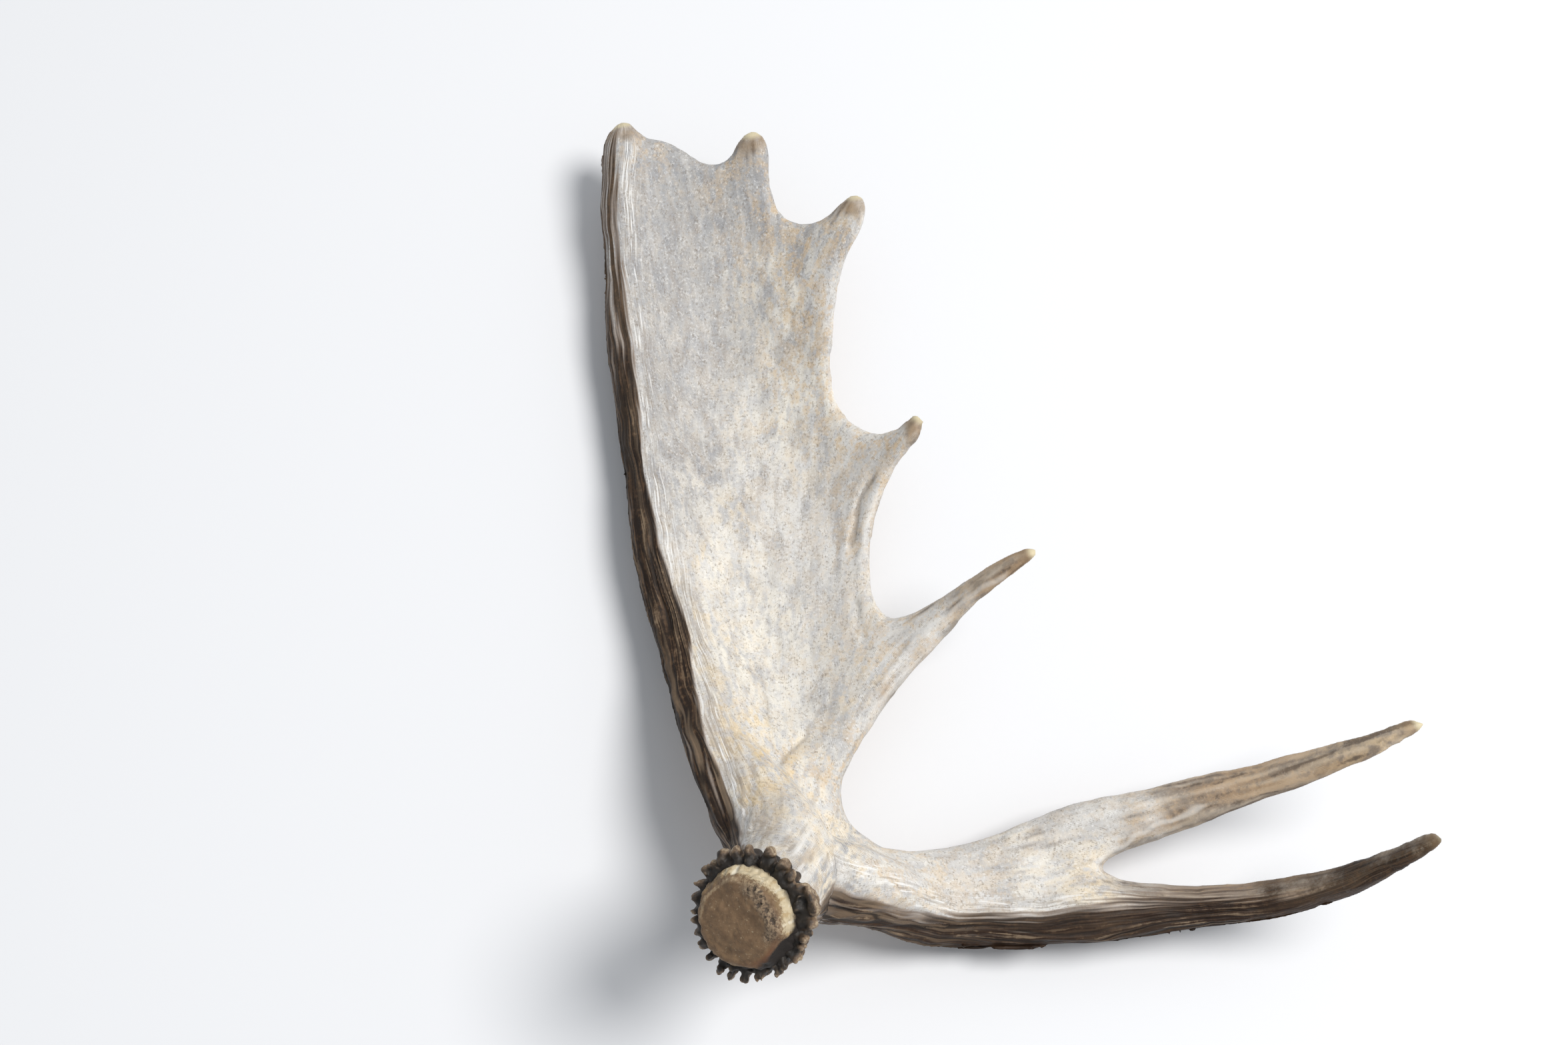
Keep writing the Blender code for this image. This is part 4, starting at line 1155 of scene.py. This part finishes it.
def seal_material():
    """Seal: brown face, darker partly as painted shade, rougher and pitted on one side, yellowish crust on
    the flank, painted shade at its foot.
    """
    g = Graph("seal")
    broad = g.noise(9, 4, 0.6)
    small = g.noise(2.2, 4, 0.65, 6.0)
    grit = g.noise(1.4, 4, 0.7, 8.0)
    rough, crust = g.field("rough"), g.field("crust")
    broken = g.linear(g.centred(grit), -1.8, crust)
    streak = g.linear(g.centred(small), 4.0, g.field("ribs"))
    # Brown ground: partly the seal's own brown, partly painted shade of a face turned from the light
    colour = g.mix(g.rise(broad, 0.36, 0.64), tint("6c543c"), tint("7d6348"))
    colour = g.layers(colour, [
        ("5e4833", 0.5, (small, 0.50, 0.64)),
        ("917454", 0.35, (g.field("swirl"), 0.3, 1.4)),
        ("a08c74", 0.6, (rough, 0.1, 0.7), (grit, 0.60, 0.44)),
        ("47403a", 0.7, (rough, 0.1, 0.7), (grit, 0.50, 0.60)),
        ("8f7856", g.times(g.field("flank"), 0.7), (small, 0.66, 0.42)),
        ("a89274", 0.7, (g.field("rim"), 0.3, 0.9), (grit, 0.66, 0.42)),
        ("cfbf9f", 0.9, (broken, 0.10, 0.65)),
        ("a98b5c", 0.6, (crust, 0.1, 0.6), (streak, 0.2, 1.2)),
        ("ebe3d0", 0.7, (crust, 0.1, 0.6), (streak, -0.4, -1.4)),
        ("3a3029", 0.8, (g.field("pits"), 0.1, 0.5)),
        ("63391c", g.times(g.field("stain"), 0.8)),
        # Painted shade at the foot
        ("1f1712", g.field("deep"))])
    return g.finish(colour, 0.75, g.bump(g.noise(0.8, 4, 0.65, 1.0), 0.25))


# ---- stage --------------------------------------------------------------------------------

def set_camera():
    """Camera square on to the upright antler."""
    data = bpy.data.cameras.new("Camera")
    data.lens = LENS
    data.sensor_width = SENSOR
    data.sensor_fit = "HORIZONTAL"
    data.clip_end = CAMERA_REACH
    camera = bpy.data.objects.new("Camera", data)
    bpy.context.scene.collection.objects.link(camera)
    camera.matrix_world = LAY @ Matrix.Translation((0, 0, EYE_DISTANCE))
    bpy.context.scene.camera = camera


def set_light():
    """One large soft light."""
    data = bpy.data.lights.new("key", "AREA")
    data.shape = "DISK"
    data.size = LIGHT_SIZE
    data.energy = LIGHT_POWER
    data.color = LIGHT_COLOUR
    light = bpy.data.objects.new("key", data)
    bpy.context.scene.collection.objects.link(light)
    towards = (LAY.to_3x3() @ Vector(LIGHT_DIRECTION)).normalized()
    light.location = LAY.translation + towards * LIGHT_DISTANCE
    light.rotation_euler = towards.to_track_quat("Z", "Y").to_euler()


def set_stage():
    """Pale floor and a pale sky."""
    bpy.ops.mesh.primitive_plane_add(size=FLOOR_SIDE, location=(0, 0, 0))
    floor = bpy.context.object
    floor.name = "floor"
    material = bpy.data.materials.new("floor")
    material.use_nodes = True
    shader = material.node_tree.nodes["Principled BSDF"]
    shader.inputs["Base Color"].default_value = tint("ececee")
    shader.inputs["Roughness"].default_value = 0.9
    floor.data.materials.append(material)
    world = bpy.data.worlds.new("World")
    world.use_nodes = True
    sky = world.node_tree.nodes["Background"]
    sky.inputs["Color"].default_value = SKY_COLOUR
    sky.inputs["Strength"].default_value = SKY_STRENGTH
    bpy.context.scene.world = world
    bpy.context.scene.view_settings.view_transform = "Standard"


def grown_skin():
    """The whole antler's skin with its relief and its fields of colour."""
    pitch = VOXEL
    skin = Skin(grow(joined_solids(), pitch), pitch, SMOOTH_REACH)
    find_sides(skin)
    skin.normals = vertex_normals(skin.points, skin.quads)
    skin.find_growth()
    raise_fibres(skin)
    raise_marks(skin)
    find_patches(skin)
    find_blotches(skin)
    skin.even_height(SPIKE_TURNS)
    skin.raise_up()
    return skin


def build_skin(material):
    """One piece of skin for each node, and two for the palm."""
    skin = grown_skin()
    kept = [name for name in skin.fields if name not in RELIEF_FIELDS]
    owner = nearest_nodes(skin)
    upper = skin.points[skin.quads[:, 0], 1] > PALM_SPLIT
    for number, node in enumerate(NODES):
        own = owner == number
        parts = {node + "_skin": own}
        if node == "palm":
            parts = {"palm_upper_skin": own & upper, "palm_lower_skin": own & ~upper}
        for name, faces in parts.items():
            build_piece(name, skin, skin.quads[faces], kept, node, material)


def main():
    """Build every piece, light the stage and place the camera."""
    build_skin(bone_material())
    build_ring(ring_material())
    build_seal(seal_material())
    set_stage()
    set_light()
    set_camera()
    bpy.context.view_layer.update()


main()
